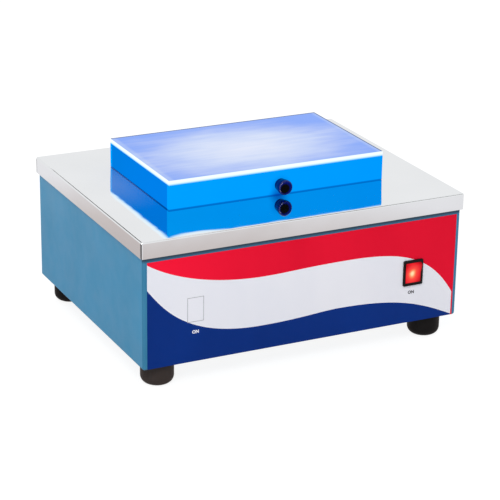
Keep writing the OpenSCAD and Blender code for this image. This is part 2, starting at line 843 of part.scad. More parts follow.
module cover_rear_wall() {
    color("#0096ff") difference() {
        translate([cover_x, cover_rear - wall_t / 2, cover_z + cover_wall_h / 2])
            cube([cover_w, wall_t, cover_wall_h], center = true);
        for (mid = hinge_mids, side = [-1, 1])
            translate([mid + side * leaf_screw_x, cover_rear + cut, axis_z + leaf_screw_at])
                rotate([90, 0, 0]) cylinder(r = small_screw_r, h = tap_l + cut);
    }
}

module side_wall(side) {
    translate([cover_x + side * (cover_w - wall_t) / 2, cover_y, cover_z + cover_wall_h / 2])
        cube([wall_t, cover_d - 2 * wall_t, cover_wall_h], center = true);
}

module cover_left_wall() {
    color("#0080f0") side_wall(-1);
}

module cover_right_wall() {
    color("#0080f0") side_wall(1);
}

// Round knob: a neck on the wall that flares to a crowned face with a rounded rim
module cover_knob() {
    r = knob_d / 2;
    neck = knob_neck_d / 2;
    color("#0a0a14") translate([knob_mid, cover_front, knob_axis_z]) rotate([90, 0, 0])
        difference() {
            union() {
                rotate_extrude() polygon([[0, 0], [neck, 0], [neck, knob_neck_l],
                    [r, knob_flare_l], [r, knob_l - knob_crown - knob_round],
                    [r - knob_round, knob_l - knob_crown], [0, knob_l]]);
                translate([0, 0, knob_l - knob_crown - knob_round]) rotate_extrude()
                    translate([r - knob_round, 0]) circle(knob_round);
            }
            translate([0, 0, -cut]) cylinder(r = knob_screw_r, h = knob_screw_in + cut);
        }
}

module knob_screw() {
    color("silver") translate([knob_mid, cover_front + wall_t, knob_axis_z]) rotate([90, 0, 0])
        pan_screw(knob_screw_r, knob_screw_head_r, head_h, wall_t + knob_screw_in);
}

// Outline of the socket, its two upper corners bevelled
module socket_plan(w, h) {
    polygon([[-w / 2, -h / 2], [w / 2, -h / 2], [w / 2, h / 2 - socket_bevel],
        [w / 2 - socket_bevel, h / 2], [-w / 2 + socket_bevel, h / 2], [-w / 2, h / 2 - socket_bevel]]);
}

module power_inlet() {
    color("#181818") difference() {
        union() {
            translate([inlet_x, inlet_face, inlet_mid_z])
                upright_plate(inlet_w, inlet_h, inlet_r * 2, inlet_flange_t);
            translate([inlet_x, rear_y + cut, inlet_mid_z])
                upright_plate(inlet_body_w, inlet_body_h, inlet_r, inlet_depth + cut);
        }
        translate([inlet_x, inlet_face + cut, inlet_mid_z + socket_up]) rotate([90, 0, 0])
            linear_extrude(socket_depth + cut) socket_plan(socket_w, socket_h);
        translate([inlet_x, inlet_face + cut, inlet_mid_z - drawer_down])
            upright_plate(drawer_w + 2 * drawer_gap, drawer_h + 2 * drawer_gap, drawer_gap,
                drawer_l + drawer_gap + cut);
        for (side = [-1, 1])
            translate([inlet_x + side * inlet_screw_gap / 2, inlet_face + cut, inlet_mid_z])
                rotate([90, 0, 0]) cylinder(r = small_screw_r + screw_play, h = inlet_flange_t + 2 * cut);
        for (i = [-1, 0, 1]) inlet_blade(i);
    }
}

// Blade number i of the inlet: line, earth and neutral, the earth blade set higher
module inlet_blade(i) {
    up = i == 0 ? earth_up : 0;
    back = rear_y - inlet_depth - tab_l;
    front = inlet_face - socket_depth + blade_l;
    translate([inlet_x + i * blade_gap - blade_t / 2, back,
        inlet_mid_z + socket_up - blade_h + up])
        cube([blade_t, front - back, blade_h]);
}

module inlet_blades() {
    color("silver") for (i = [-1, 0, 1]) inlet_blade(i);
}

module inlet_screws() {
    color("silver") for (side = [-1, 1])
        translate([inlet_x + side * inlet_screw_gap / 2, inlet_face, inlet_mid_z])
            rotate([90, 0, 0]) pan_screw(small_screw_r, small_head_r, small_pan_h,
                inlet_flange_t + case_t + small_nut_h + thread_past);
}

module inlet_nuts() {
    color("silver") for (side = [-1, 1])
        translate([inlet_x + side * inlet_screw_gap / 2, rear_y - case_t, inlet_mid_z])
            rotate([90, 0, 0]) hex_nut(small_screw_r, small_nut_r, small_nut_h);
}

// Drawer with a grip in front and two trays, for the fuse in use and a spare
module fuse_drawer() {
    color("#202020") difference() {
        union() {
            translate([inlet_x, inlet_face + inlet_edge, inlet_mid_z - drawer_down])
                upright_plate(drawer_w, drawer_h, drawer_gap, drawer_l);
            translate([inlet_x, inlet_face + drawer_grip, inlet_mid_z - drawer_down])
                upright_plate(drawer_w + 2 * grip_over, drawer_h + grip_over, grip_over,
                    drawer_grip - inlet_edge);
        }
        for (row = [0, 1]) fuse_at(row) fuse_room();
    }
}

// Place of fuse number row, 0 at the inner end of the drawer
module fuse_at(row) {
    pitch = fuse_d + 2 * fuse_play + tray_wall;
    translate([inlet_x, inlet_face + inlet_edge - drawer_l + pitch * (row + 0.5) + tray_end,
        inlet_mid_z - drawer_down]) children();
}

// Room for a fuse that is put in from above
module fuse_room() {
    r = fuse_d / 2 + fuse_play;
    half_l = fuse_l / 2 + fuse_play;
    rotate([0, 90, 0]) cylinder(r = r, h = 2 * half_l, center = true);
    translate([-half_l, -r, 0]) cube([2 * half_l, 2 * r, drawer_h]);
}

module fuses() {
    color("#d8e4e8") for (row = [0, 1]) fuse_at(row)
        translate([0, 0, fuse_rest - fuse_play]) rotate([0, 90, 0])
            cylinder(r = fuse_d / 2, h = fuse_l, center = true);
}

// Spots of the screws that hold the rails, and of those that hold the ballasts
rail_spots = [for (x = [-1, 1], y = [-1, 1]) [cover_x + x * rail_screw_x, cover_y + y * rail_screw_y]];
ballast_spots = [for (y = ballast_ys, side = [-1, 1])
    [ballast_x + side * (ballast_l / 2 - ballast_foot / 2), y]];

// Channel rails, open to the outside, that carry the reflector and the lamp holders
module lamp_rails() {
    color("silver") for (side = [-1, 1]) translate([cover_x + side * rail_mid, cover_y, rail_z])
        difference() {
            translate([0, 0, rail_h / 2]) cube([rail_w, rail_l, rail_h], center = true);
            translate([side * rail_t, 0, rail_h / 2])
                cube([rail_w, rail_l + 2 * cut, rail_h - 2 * rail_t], center = true);
            for (y = [-1, 1])
                drill([side * (rail_screw_x - rail_mid), y * rail_screw_y], screw_r + screw_play,
                    -cut, rail_h / 2);
        }
}

module rail_screws() {
    color("silver") for (spot = rail_spots)
        translate([spot[0], spot[1], plate_z])
            pan_screw(screw_r, head_r, low_pan_h, base_t + rail_t + nut_h + thread_past);
}

module rail_nuts() {
    color("silver") for (spot = rail_spots)
        translate([spot[0], spot[1], plate_top + rail_t]) hex_nut(screw_r, nut_r, nut_h);
}

// Reflector: one bent sheet with a flat floor, sloping sides and a lip on each side
module reflector() {
    half = reflector_floor / 2;
    run = reflector_side_h * reflector_slope;
    slant = reflector_t * sqrt(1 + reflector_slope * reflector_slope);
    top = reflector_side_h;
    color("#dfe3e6") translate([cover_x, cover_y, reflector_z]) rotate([90, 0, 90])
        linear_extrude(reflector_l, center = true) polygon([
            [-half, 0], [half, 0], [half + run, top - reflector_t],
            [half + run + reflector_lip, top - reflector_t], [half + run + reflector_lip, top],
            [half + run - slant / 2, top], [half - slant / 2, reflector_t],
            [-half + slant / 2, reflector_t], [-half - run + slant / 2, top],
            [-half - run - reflector_lip, top], [-half - run - reflector_lip, top - reflector_t],
            [-half - run, top - reflector_t]]);
}

// Lamp holder: a block on a foot, with a round head and two blind holes for the tube's pins
module lamp_holders() {
    color("white") for (y = tube_rows, side = [-1, 1])
        translate([cover_x + side * holder_mid, y, reflector_z + reflector_t]) difference() {
            union() {
                translate([0, 0, tube_lift / 2]) cube([holder_t, holder_w, tube_lift], center = true);
                translate([0, 0, tube_lift]) rotate([0, 90, 0])
                    cylinder(r = holder_w / 2, h = holder_t, center = true);
            }
            for (pin = [-1, 1])
                translate([-side * (holder_t / 2 + cut), pin * pin_gap / 2, tube_lift])
                    rotate([0, side * 90, 0]) cylinder(r = pin_r + cap_play, h = pin_l + cut + pin_room);
        }
}

module uv_tubes() {
    color("#e8e8ff") for (y = tube_rows)
        translate([cover_x, y, tube_z]) rotate([0, 90, 0]) difference() {
            cylinder(r = tube_d / 2 - cap_t, h = tube_l - 2 * cap_t, center = true);
            cylinder(r = tube_d / 2 - cap_t - tube_glass_t, h = tube_l, center = true);
        }
}

module tube_caps() {
    color("silver") for (y = tube_rows, side = [-1, 1])
        translate([cover_x + side * tube_l / 2, y, tube_z]) rotate([0, -side * 90, 0]) {
            difference() {
                cylinder(r = tube_d / 2, h = cap_l);
                translate([0, 0, cap_t])
                    cylinder(r = tube_d / 2 - cap_t + skim, h = cap_l);
            }
            for (pin = [-1, 1])
                translate([0, pin * pin_gap / 2, -pin_l + cap_play])
                    cylinder(r = pin_r, h = pin_l);
        }
}

// Ballast: a flat-footed box, screwed down at both ends
module ballasts() {
    color("#f0f0ec") for (y = ballast_ys) translate([ballast_x, y, plate_top]) difference() {
        union() {
            translate([0, 0, ballast_h / 2])
                cube([ballast_l - 2 * ballast_foot, ballast_w, ballast_h], center = true);
            translate([0, 0, ballast_foot_t / 2])
                cube([ballast_l, ballast_w, ballast_foot_t], center = true);
        }
        for (side = [-1, 1])
            drill([side * (ballast_l / 2 - ballast_foot / 2), 0], screw_r + screw_play, -cut, ballast_h);
    }
}

module ballast_screws() {
    color("silver") for (spot = ballast_spots)
        translate([spot[0], spot[1], plate_z])
            pan_screw(screw_r, head_r, low_pan_h, base_t + ballast_foot_t + nut_h + thread_past);
}

module ballast_nuts() {
    color("silver") for (spot = ballast_spots)
        translate([spot[0], spot[1], plate_top + ballast_foot_t]) hex_nut(screw_r, nut_r, nut_h);
}

// Terminal block: a strip with one raised cell and two openings to each way
module terminal_block() {
    l = terminal_ways * terminal_pitch;
    color("#f4f4ee") translate([terminal_x, terminal_y, plate_top]) difference() {
        union() {
            translate([0, 0, terminal_h / 4]) cube([l, terminal_w, terminal_h / 2], center = true);
            for (i = [0 : terminal_ways - 1])
                translate([(i - (terminal_ways - 1) / 2) * terminal_pitch, 0, terminal_h / 2])
                    cube([terminal_cell_l, terminal_cell_w, terminal_h], center = true);
        }
        for (i = [0 : terminal_ways - 1])
            translate([(i - (terminal_ways - 1) / 2) * terminal_pitch, 0, terminal_way_z])
                rotate([90, 0, 0])
                    cylinder(r = terminal_way_r, h = terminal_w + cut, center = true);
    }
}

module earth_stud() {
    color("silver") translate([earth_x, earth_y, plate_top]) {
        cylinder(r = screw_r, h = earth_l);
        cylinder(r = nut_r, h = nut_h, $fn = hex);
    }
}

cabinet_shell();
base_plate();
base_screws();
base_nuts();
rubber_feet();
foot_screws();
foot_nuts();
steel_top();
top_studs();
top_nuts();
filter_gasket();
filter_glass();
filter_frame();
filter_nuts();
front_overlay();
switch_body();
switch_rocker();
switch_terminals();
hinge_fixed_leaves();
hinge_moving_leaves();
hinge_pins();
hinge_top_screws();
hinge_top_nuts();
hinge_cover_screws();
cover_top_sheet();
cover_front_wall();
cover_rear_wall();
cover_left_wall();
cover_right_wall();
cover_knob();
knob_screw();
power_inlet();
inlet_blades();
inlet_screws();
inlet_nuts();
fuse_drawer();
fuses();
lamp_rails();
rail_screws();
rail_nuts();
reflector();
lamp_holders();
uv_tubes();
tube_caps();
ballasts();
ballast_screws();
ballast_nuts();
terminal_block();
earth_stud();
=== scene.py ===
# %% [markdown]
# # A bench-top ultraviolet light box, dressed for its picture
#
# The steel case, the folded top, the acrylic cover, the lamps and the switch all come ready-made as a
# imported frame. This notebook gives them their finish: bevels where sheet is cut, powder coat,
# polished steel, glowing acrylic and a printed panel. Nothing here moves or resizes a part.

# %% Load the frame
import math

import bmesh
import bpy
from mathutils import Matrix, Vector
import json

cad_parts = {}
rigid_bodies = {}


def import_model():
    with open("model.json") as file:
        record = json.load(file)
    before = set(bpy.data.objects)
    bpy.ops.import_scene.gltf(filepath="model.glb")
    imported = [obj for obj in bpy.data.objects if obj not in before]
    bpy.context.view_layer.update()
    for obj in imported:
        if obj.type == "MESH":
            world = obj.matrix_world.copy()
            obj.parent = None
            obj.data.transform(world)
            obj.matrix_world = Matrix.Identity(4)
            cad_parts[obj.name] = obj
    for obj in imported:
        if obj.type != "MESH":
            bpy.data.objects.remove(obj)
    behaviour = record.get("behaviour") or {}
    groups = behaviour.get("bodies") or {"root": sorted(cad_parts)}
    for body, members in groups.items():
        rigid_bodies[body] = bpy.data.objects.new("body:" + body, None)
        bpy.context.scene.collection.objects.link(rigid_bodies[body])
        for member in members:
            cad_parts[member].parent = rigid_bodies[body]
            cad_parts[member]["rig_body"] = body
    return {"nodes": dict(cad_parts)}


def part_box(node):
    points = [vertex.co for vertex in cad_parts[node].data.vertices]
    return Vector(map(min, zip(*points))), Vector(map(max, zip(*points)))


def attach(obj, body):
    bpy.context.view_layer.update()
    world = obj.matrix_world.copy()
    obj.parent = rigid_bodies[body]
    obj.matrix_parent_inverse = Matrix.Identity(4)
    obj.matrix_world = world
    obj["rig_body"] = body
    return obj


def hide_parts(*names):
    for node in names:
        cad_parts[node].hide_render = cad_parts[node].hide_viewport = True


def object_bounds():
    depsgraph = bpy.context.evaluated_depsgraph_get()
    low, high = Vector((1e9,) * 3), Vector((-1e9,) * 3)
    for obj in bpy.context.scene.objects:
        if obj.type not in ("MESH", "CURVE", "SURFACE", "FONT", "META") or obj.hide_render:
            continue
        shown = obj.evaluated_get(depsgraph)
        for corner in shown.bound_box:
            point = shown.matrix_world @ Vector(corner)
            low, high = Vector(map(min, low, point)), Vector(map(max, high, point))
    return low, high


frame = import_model()
CAD = frame["nodes"]
cad_low, cad_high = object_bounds()
BOX_MIDDLE = (cad_low + cad_high) / 2
MM = 0.001
print("size in mm:", [round(side / MM, 1) for side in cad_high - cad_low])

# %% [markdown]
# ## A few small helpers
#
# Colours are written as sRGB hex, as a paint chart or a screen gives them, but shaders count in linear
# light, so one function converts them. A second function adds a node, gives it its settings and fills
# its sockets: handed another socket, it makes a link, handed a node, it links that node's first output,
# and anything else is a value. Three more use it for what many materials here need: a run of colours,
# a way along an axis and a way out from a point. The last one measures in ellipsoids, and a half size of
# ANY_FAR is so long that its axis has no say.

# %% Colour and node helpers
def linear(hex_colour):
    """sRGB hex, such as '#2080a8', to a linear RGBA tuple."""
    channels = [int(hex_colour[i:i + 2], 16) / 255 for i in (1, 3, 5)]
    light = [c / 12.92 if c <= 0.04045 else ((c + 0.055) / 1.055) ** 2.4 for c in channels]
    return (*light, 1.0)


def node(tree, kind, inputs=None, **settings):
    """A new node of this kind. inputs maps socket names or numbers to values, sockets or nodes."""
    made = tree.nodes.new(kind)
    for name, value in settings.items():
        setattr(made, name, value)
    for name, value in (inputs or {}).items():
        if isinstance(value, bpy.types.Node):
            value = value.outputs[0]
        if isinstance(value, bpy.types.NodeSocket):
            tree.links.new(value, made.inputs[name])
        else:
            made.inputs[name].default_value = value
    return made


def colour_steps(tree, value, *steps):
    """A colour for each value from 0 to 1. Each step is a value and its hex colour."""
    ramp = node(tree, "ShaderNodeValToRGB", {0: value})
    stops = ramp.color_ramp.elements
    for place, _ in steps[1:-1]:
        stops.new(place)
    for stop, (place, colour) in zip(stops, steps):
        stop.position = place
        stop.color = linear(colour)
    return ramp.outputs[0]


def share(tree, axis, start, end):
    """0 at start and 1 at end along an axis of Object coordinates, in metres."""
    place = node(tree, "ShaderNodeTexCoord")
    split = node(tree, "ShaderNodeSeparateXYZ", {0: place.outputs["Object"]})
    return node(tree, "ShaderNodeMapRange", {0: split.outputs[axis], 1: start, 2: end})


ANY_FAR = 10.0


def reach(tree, middle, halves):
    """0 in the middle and 1 on the ellipsoid round it that has these half sizes, in metres."""
    place = node(tree, "ShaderNodeTexCoord")
    space = node(tree, "ShaderNodeMapping", {
        "Vector": place.outputs["Object"], "Scale": [1 / half for half in halves],
        "Location": [-at / half for at, half in zip(middle, halves)]})
    return node(tree, "ShaderNodeVectorMath", {0: space}, operation="LENGTH").outputs["Value"]


print("mid grey in linear light:", round(linear("#808080")[0], 3))

# %% [markdown]
# ## Camera
#
# A long lens, far away, keeps the box's edges nearly parallel, as catalogue pictures do. The camera
# stands to the left of the front, looks down by about 21 degrees and is rolled by under a degree.
# Its turn is built from three angles, because a maker measures those, and not a matrix.

# %% Camera
def put_in_scene(name, data):
    """A new object of this mesh, lamp, camera or text, linked to the scene."""
    made = bpy.data.objects.new(name, data)
    bpy.context.scene.collection.objects.link(made)
    return made


CAMERA_AT = Vector((-0.957, -1.945, 0.9046))
CAMERA_HEADING = math.radians(26.38)
CAMERA_DOWN = math.radians(20.75)
CAMERA_ROLL = math.radians(0.90)

camera_data = bpy.data.cameras.new("studio_camera")
camera_data.lens = 140.0
camera_data.sensor_width = 36.0
camera = put_in_scene("studio_camera", camera_data)
turn = Matrix.Rotation(-CAMERA_HEADING, 4, "Z") @ Matrix.Rotation(math.pi / 2 - CAMERA_DOWN, 4, "X")
camera.matrix_world = Matrix.Translation(CAMERA_AT) @ turn @ Matrix.Rotation(CAMERA_ROLL, 4, "Z")
bpy.context.scene.camera = camera
bpy.context.scene.view_settings.view_transform = "Standard"
print("camera is", round((CAMERA_AT - BOX_MIDDLE).length, 2), "m from the box")

# %% [markdown]
# ## World and floor
#
# The box stands on white. A white world lights it evenly, but at full strength it would wash out every
# shade, so the world has two strengths: what the camera, a mirror or a pane of glass sees is white, and
# what lights a dull surface is weaker. The floor works in the same way. Seen by the camera it is part
# lamp and part paper, bright enough to be white but still darker where the box keeps light off it. What
# a mirror sees of it is a painted shade: a glow that turns to a warm grey near the box, as a painted
# shadow of the box, and that grey is what shades the steel's upright sides.

# %% World
def empty_tree(owner):
    """The node tree of a material or a world, with nothing in it."""
    owner.use_nodes = True
    owner.node_tree.nodes.clear()
    return owner.node_tree


SEEN_STRENGTH, FILL_STRENGTH = 1.0, 0.66
world = bpy.data.worlds.new("white_studio")
bpy.context.scene.world = world
tree = empty_tree(world)
path = node(tree, "ShaderNodeLightPath")
seen = path.outputs["Is Camera Ray"]
for ray in ("Is Glossy Ray", "Is Transmission Ray"):
    seen = node(tree, "ShaderNodeMath", {0: seen, 1: path.outputs[ray]}, operation="MAXIMUM")
backdrop = node(tree, "ShaderNodeBackground", {"Color": linear("#ffffff"), "Strength": SEEN_STRENGTH})
fill = node(tree, "ShaderNodeBackground", {"Color": linear("#f9fbff"), "Strength": FILL_STRENGTH})
both = node(tree, "ShaderNodeMixShader", {0: seen, 1: fill, 2: backdrop})
node(tree, "ShaderNodeOutputWorld", {"Surface": both})
print("world:", world.name)

# %% Floor
SQUARE = ((-1, -1), (1, -1), (1, 1), (-1, 1))


def studio_sheet(name, corners, paint):
    """A flat sheet between four corners, which belongs to the studio and not to the box."""
    mesh = bpy.data.meshes.new(name)
    mesh.from_pydata(corners, [], [(0, 1, 2, 3)])
    mesh.materials.append(paint)
    sheet = put_in_scene(name, mesh)
    return sheet


FLOOR_HALF = 4.0
FLOOR_GAP = 0.2 * MM
PAPER_GLOW = 0.88
floor_z = cad_low.z - FLOOR_GAP
paper = bpy.data.materials.new("white_paper_sweep")
tree = empty_tree(paper)
path = node(tree, "ShaderNodeLightPath")
metres_out = reach(tree, (0, 0, 0), (1, 1, 1))
# Painted shade: what a mirror sees of the floor is a glow that darkens near the box, a painted shadow.
floor_painted_shade = colour_steps(tree, metres_out, (0.42, "#d0c6c4"), (0.54, "#ddd3d0"), (0.70, "#fbf9fb"),
                         (0.9, "#ffffff"))
dull_paper = node(tree, "ShaderNodeBsdfDiffuse", {"Color": linear("#dcd6d3")})
mirrored = node(tree, "ShaderNodeEmission", {"Color": floor_painted_shade, "Strength": 1.0})
seen_paper = node(tree, "ShaderNodeBsdfDiffuse", {"Color": linear("#808080")})
lift = node(tree, "ShaderNodeEmission", {"Color": linear("#ffffff"), "Strength": PAPER_GLOW})
lifted = node(tree, "ShaderNodeAddShader", {0: seen_paper, 1: lift})
to_mirror = node(tree, "ShaderNodeMixShader", {0: path.outputs["Is Glossy Ray"], 1: dull_paper, 2: mirrored})
to_camera = node(tree, "ShaderNodeMixShader", {0: path.outputs["Is Camera Ray"], 1: to_mirror, 2: lifted})
node(tree, "ShaderNodeOutputMaterial", {"Surface": to_camera})
studio_sheet("studio_floor", [(x * FLOOR_HALF, y * FLOOR_HALF, floor_z) for x, y in SQUARE], paper)
print("floor lies at", round(floor_z / MM, 2), "mm")

# %% [markdown]
# ## Lamps
#
# Two soft boxes do the shaping. The key hangs high in front on the left, so that the front is well lit,
# the right end of the panel falls off a little and the overhanging top throws a thin shadow. The second
# one hangs behind and keeps the back from going flat in the other views. It stands just where the
# polished top would mirror it, so mirrors don't see it.

# %% Lamps
def soft_box(name, place, size, watts, tint, mirrored):
    """A square area lamp that looks at the middle of the box."""
    data = bpy.data.lights.new(name, "AREA")
    data.size = size
    data.energy = watts
    data.color = linear(tint)[:3]
    lamp = put_in_scene(name, data)
    lamp.location = place
    lamp.rotation_euler = (BOX_MIDDLE - Vector(place)).to_track_quat("-Z", "Y").to_euler()
    lamp.visible_glossy = mirrored
    print(name, "gives", watts, "W")


soft_box("key_soft_box", place=(-1.1, -1.75, 1.9), size=0.9, watts=30.0, tint="#fffdfb", mirrored=True)
soft_box("back_soft_box", place=(0.9, 2.0, 1.9), size=1.6, watts=14.0, tint="#fbfdff", mirrored=False)

# %% [markdown]
# ## Cards
#
# Polished steel on white has no outline: its top, its bends and its sides all mirror white. A studio
# puts up black cards, and each bend then draws one thin dark line. One hangs behind on the left, one in
# front on the right, both small and high enough to keep out of the flat top, and a strip lies on its
# edge at the left for the corner. A tall white strip does the opposite: the upright corner and the
# knob's rim draw it as a bright line. Nothing but a mirror sees the cards, so they take no light from
# the box and give it none.

# %% Cards
def card_paint(name, hex_colour, strength):
    """What a mirror sees of a card."""
    paint = bpy.data.materials.new(name)
    tree = empty_tree(paint)
    shine = node(tree, "ShaderNodeEmission", {"Color": linear(hex_colour), "Strength": strength})
    node(tree, "ShaderNodeOutputMaterial", {"Surface": shine})
    return paint


def stand_card(name, paint, heading, distance, half_angle, rise):
    """An upright card off the box: degrees clockwise from behind it, and up to its lower and upper edge."""
    side = distance * math.tan(math.radians(half_angle))
    low, high = [BOX_MIDDLE.z + distance * math.tan(math.radians(a)) for a in rise]
    turn = Matrix.Rotation(-math.radians(heading), 4, "Z")
    corners = [turn @ Vector((x * side, distance, high if z > 0 else low)) for x, z in SQUARE]
    card = studio_sheet(name, corners, paint)
    for ray in ("camera", "diffuse", "transmission", "shadow"):
        setattr(card, "visible_" + ray, False)


card_black = card_paint("card_black", "#3a3735", strength=1.0)
card_white = card_paint("card_white_lit", "#ffffff", strength=6.0)
stand_card("card_behind_left", card_black, heading=-10, distance=1.6, half_angle=13, rise=(28, 36))
stand_card("card_front_right", card_black, heading=138, distance=1.8, half_angle=11, rise=(38, 56))
stand_card("strip_left_low", card_black, heading=-96, distance=0.54, half_angle=31, rise=(-11, -3.5))
stand_card("strip_left_tall", card_white, heading=-124, distance=1.5, half_angle=5, rise=(-3, 56))
print("four cards stand by")

# %% [markdown]
# ## How a part gets its dressed copy
#
# Real sheet and mouldings have no knife edges, and an edge without a small radius never catches the
# light. The frame's own meshes must not change, so a part that needs bevels is copied: loose triangles
# are merged, flat neighbours are joined so that only real edges remain, those edges are bevelled, and
# the copy then stands in for the part. Doing this on a copy keeps the exact outline of the part.

# %% Merging, smoothing and settling
WELD = 0.002 * MM
FLAT = math.radians(0.5)


def smooth_by_angle(mesh, degrees=32):
    """Smooth shading that stays crisp where faces meet at more than this angle."""
    for face in mesh.polygons:
        face.use_smooth = True
    mesh.set_sharp_from_angle(angle=math.radians(degrees))


def merged_copy(cad_name):
    """The part's mesh as one clean surface, in a bmesh: merged corners, flat areas without seams."""
    work = bmesh.new()
    work.from_mesh(CAD[cad_name].data)
    bmesh.ops.remove_doubles(work, verts=work.verts, dist=WELD)
    bmesh.ops.dissolve_limit(work, angle_limit=FLAT, verts=work.verts, edges=work.edges)
    return work


def piece_from(work, name, *materials):
    """Turns a bmesh into an object with these materials and frees it."""
    mesh = bpy.data.meshes.new(name)
    work.to_mesh(mesh)
    work.free()
    for material in materials:
        mesh.materials.append(material)
    return put_in_scene(name, mesh)


def shown_mesh(made):
    """The mesh that an object shows after its modifiers, or that a text turns into."""
    layer = bpy.context.evaluated_depsgraph_get()
    mesh = bpy.data.meshes.new_from_object(made.evaluated_get(layer), depsgraph=layer)
    mesh.name = made.name
    return mesh


def settle(piece):
    """Turns the result of the modifiers into the piece's own plain mesh."""
    result = shown_mesh(piece)
    piece.modifiers.clear()
    piece.data = result


print("parts in the frame:", len(CAD))

# %% Dressed copies
def finish_piece(piece, body, slot, *cad_names):
    """Attaches the piece to what it rides on and hides the parts that it stands for. slot is not used."""
    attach(piece, body)
    if cad_names:
        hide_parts(*cad_names)
    return piece


def body_of(cad_name):
    """The body that a part of the frame rides on."""
    return CAD[cad_name]["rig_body"]


REAL_EDGE = math.radians(40)


def dressed(name, cad_name, slot, *materials, edge, segments=2):
    """A bevelled copy of a part, edge in mm, which takes the part's place."""
    piece = piece_from(merged_copy(cad_name), name, *materials)
    bevel = piece.modifiers.new("edge_radius", "BEVEL")
    bevel.width = edge * MM
    bevel.segments = segments
    bevel.limit_method = "ANGLE"
    bevel.angle_limit = REAL_EDGE
    bevel.use_clamp_overlap = True
    settle(piece)
    smooth_by_angle(piece.data)
    flat_faces = piece.modifiers.new("flat_faces_stay_flat", "WEIGHTED_NORMAL")
    flat_faces.keep_sharp = True
    settle(piece)
    return finish_piece(piece, body_of(cad_name), slot, cad_name)


print("the case's body is", body_of("cabinet_shell"))

# %% [markdown]
# ## How a material starts
#
# No real surface is perfectly even. Paint runs a little thicker here and there, steel keeps the lines of
# its polishing, and moulded plastic has a fine texture. So every finish here is one Principled shader
# whose colour, gloss and height all wander a little, in patches of a real size. Texture space is counted
# in millimetres: Object coordinates times a thousand. A grain that runs along the sheet is the same
# space, squeezed along one axis.

# %% Uneven values and finishes
NOISE_LOW, NOISE_HIGH = 0.3, 0.7


def uneven(tree, size, low, high, stretch=(1, 1, 1)):
    """A value that drifts between low and high in patches about this many mm across."""
    place = node(tree, "ShaderNodeTexCoord")
    space = node(tree, "ShaderNodeMapping", {"Vector": place.outputs["Object"],
                                             "Scale": [1 / MM / s for s in stretch]})
    cloud = node(tree, "ShaderNodeTexNoise", {"Vector": space, "Scale": 1 / size, "Detail": 2.5})
    return node(tree, "ShaderNodeMapRange", {0: cloud, 1: NOISE_LOW, 2: NOISE_HIGH, 3: low, 4: high})


def finish(name, colours, patch, gloss, grain, relief, stretch=(1, 1, 1), **sockets):
    """A finish between two colours and two roughnesses, with a relief of so many mm at a grain size."""
    material = bpy.data.materials.new(name)
    tree = empty_tree(material)
    colour = node(tree, "ShaderNodeMix", {0: uneven(tree, patch, 0, 1, stretch), 6: linear(colours[0]),
                                          7: linear(colours[1])}, data_type="RGBA")
    rise = node(tree, "ShaderNodeBump", {"Height": uneven(tree, grain, 0, 1, stretch),
                                         "Distance": relief * MM})
    shader = node(tree, "ShaderNodeBsdfPrincipled", {
        "Base Color": colour.outputs[2], "Roughness": uneven(tree, patch / 3, *gloss),
        "Normal": rise})
    for socket, value in sockets.items():
        shader.inputs[socket.replace("_", " ")].default_value = value
    node(tree, "ShaderNodeOutputMaterial", {"Surface": shader})
    return material


print("noise is spread out from", NOISE_LOW, "to", NOISE_HIGH)

# %% Changing a finish in places
def shader_of(material):
    """The Principled shader of a finish."""
    return next(n for n in material.node_tree.nodes if n.type == "BSDF_PRINCIPLED")


def tone(material, hex_colour, where, socket="Base Color"):
    """Lets another colour into a finish, as far as a value from 0 to 1 says."""
    tree = material.node_tree
    surface = shader_of(material).inputs[socket]
    mixed = node(tree, "ShaderNodeMix", {0: where, 6: surface.links[0].from_socket, 7: linear(hex_colour)},
                 data_type="RGBA")
    tree.links.new(mixed.outputs[2], surface)


def nearby(tree, middle, halves, most=1.0, full=0.0):
    """As much as asked near a point, and 0 from the ellipsoid round it with these half sizes outwards."""
    return node(tree, "ShaderNodeMapRange", {0: reach(tree, middle, halves), 1: full, 3: most, 4: 0.0},
                interpolation_type="SMOOTHSTEP")


def glow(material, colour, strength):
    """Makes a finish shine with a colour that another node gives."""
    shader = shader_of(material)
    material.node_tree.links.new(colour, shader.inputs["Emission Color"])
    shader.inputs["Emission Strength"].default_value = strength


print("finish helpers are ready")

# %% [markdown]
# ## Powder-coated case
#
# The case is folded from mild steel and powder coated in a light blue. Powder melts into a skin that is
# even in colour but never quite flat: it has an orange-peel texture of about a millimetre and a half,
# only some hundredths of a millimetre high. The eye gets it as a soft, slightly broken gloss. The front,
# which the film covers, is painted darker as painted shade, and darkest in a painted shadow just under
# the overhanging top.

# %% Powder coat
powder_blue = finish("powder_coat_light_blue", ("#3092bf", "#3899c7"), patch=70, gloss=(0.36, 0.48),
                     grain=1.6, relief=0.02, Specular_IOR_Level=0.42)
skirt_low, skirt_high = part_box("steel_top")
# Painted shade: the whole front is darkened a little, and fully in a painted shadow just under the top.
FRONT_SHADE_LEAST = 0.42
tree = powder_blue.node_tree
under_top = share(tree, "Z", skirt_low.z - 8.5 * MM, skirt_low.z - 3 * MM)
at_front = share(tree, "Y", skirt_low.y + 6 * MM, skirt_low.y + 4 * MM)
front_shade_depth = node(tree, "ShaderNodeMath", {0: FRONT_SHADE_LEAST, 1: under_top}, operation="MAXIMUM")
front = node(tree, "ShaderNodeMath", {0: front_shade_depth, 1: at_front}, operation="MULTIPLY")
tone(powder_blue, "#1b4660", front)
print("made", powder_blue.name)

# %% [markdown]
# ## Steel
#
# The top is a mirror-polished stainless sheet, so its colour is nearly all reflection: what tells steel
# from a perfect mirror is a slow waviness of a tenth or two of a millimetre, which makes the edges of a
# reflection wander. The sheet is also pulled down a little towards its middle, like a very flat bowl,
# so mirrored things look taller than they are, it has one slight bulge near the front, and at the left
# of the cover hands have left it hazy. Hinge leaves are brushed, which draws the highlight out across
# the brushing, and zinc plated screws look cloudy. All of them keep the default metal IOR.

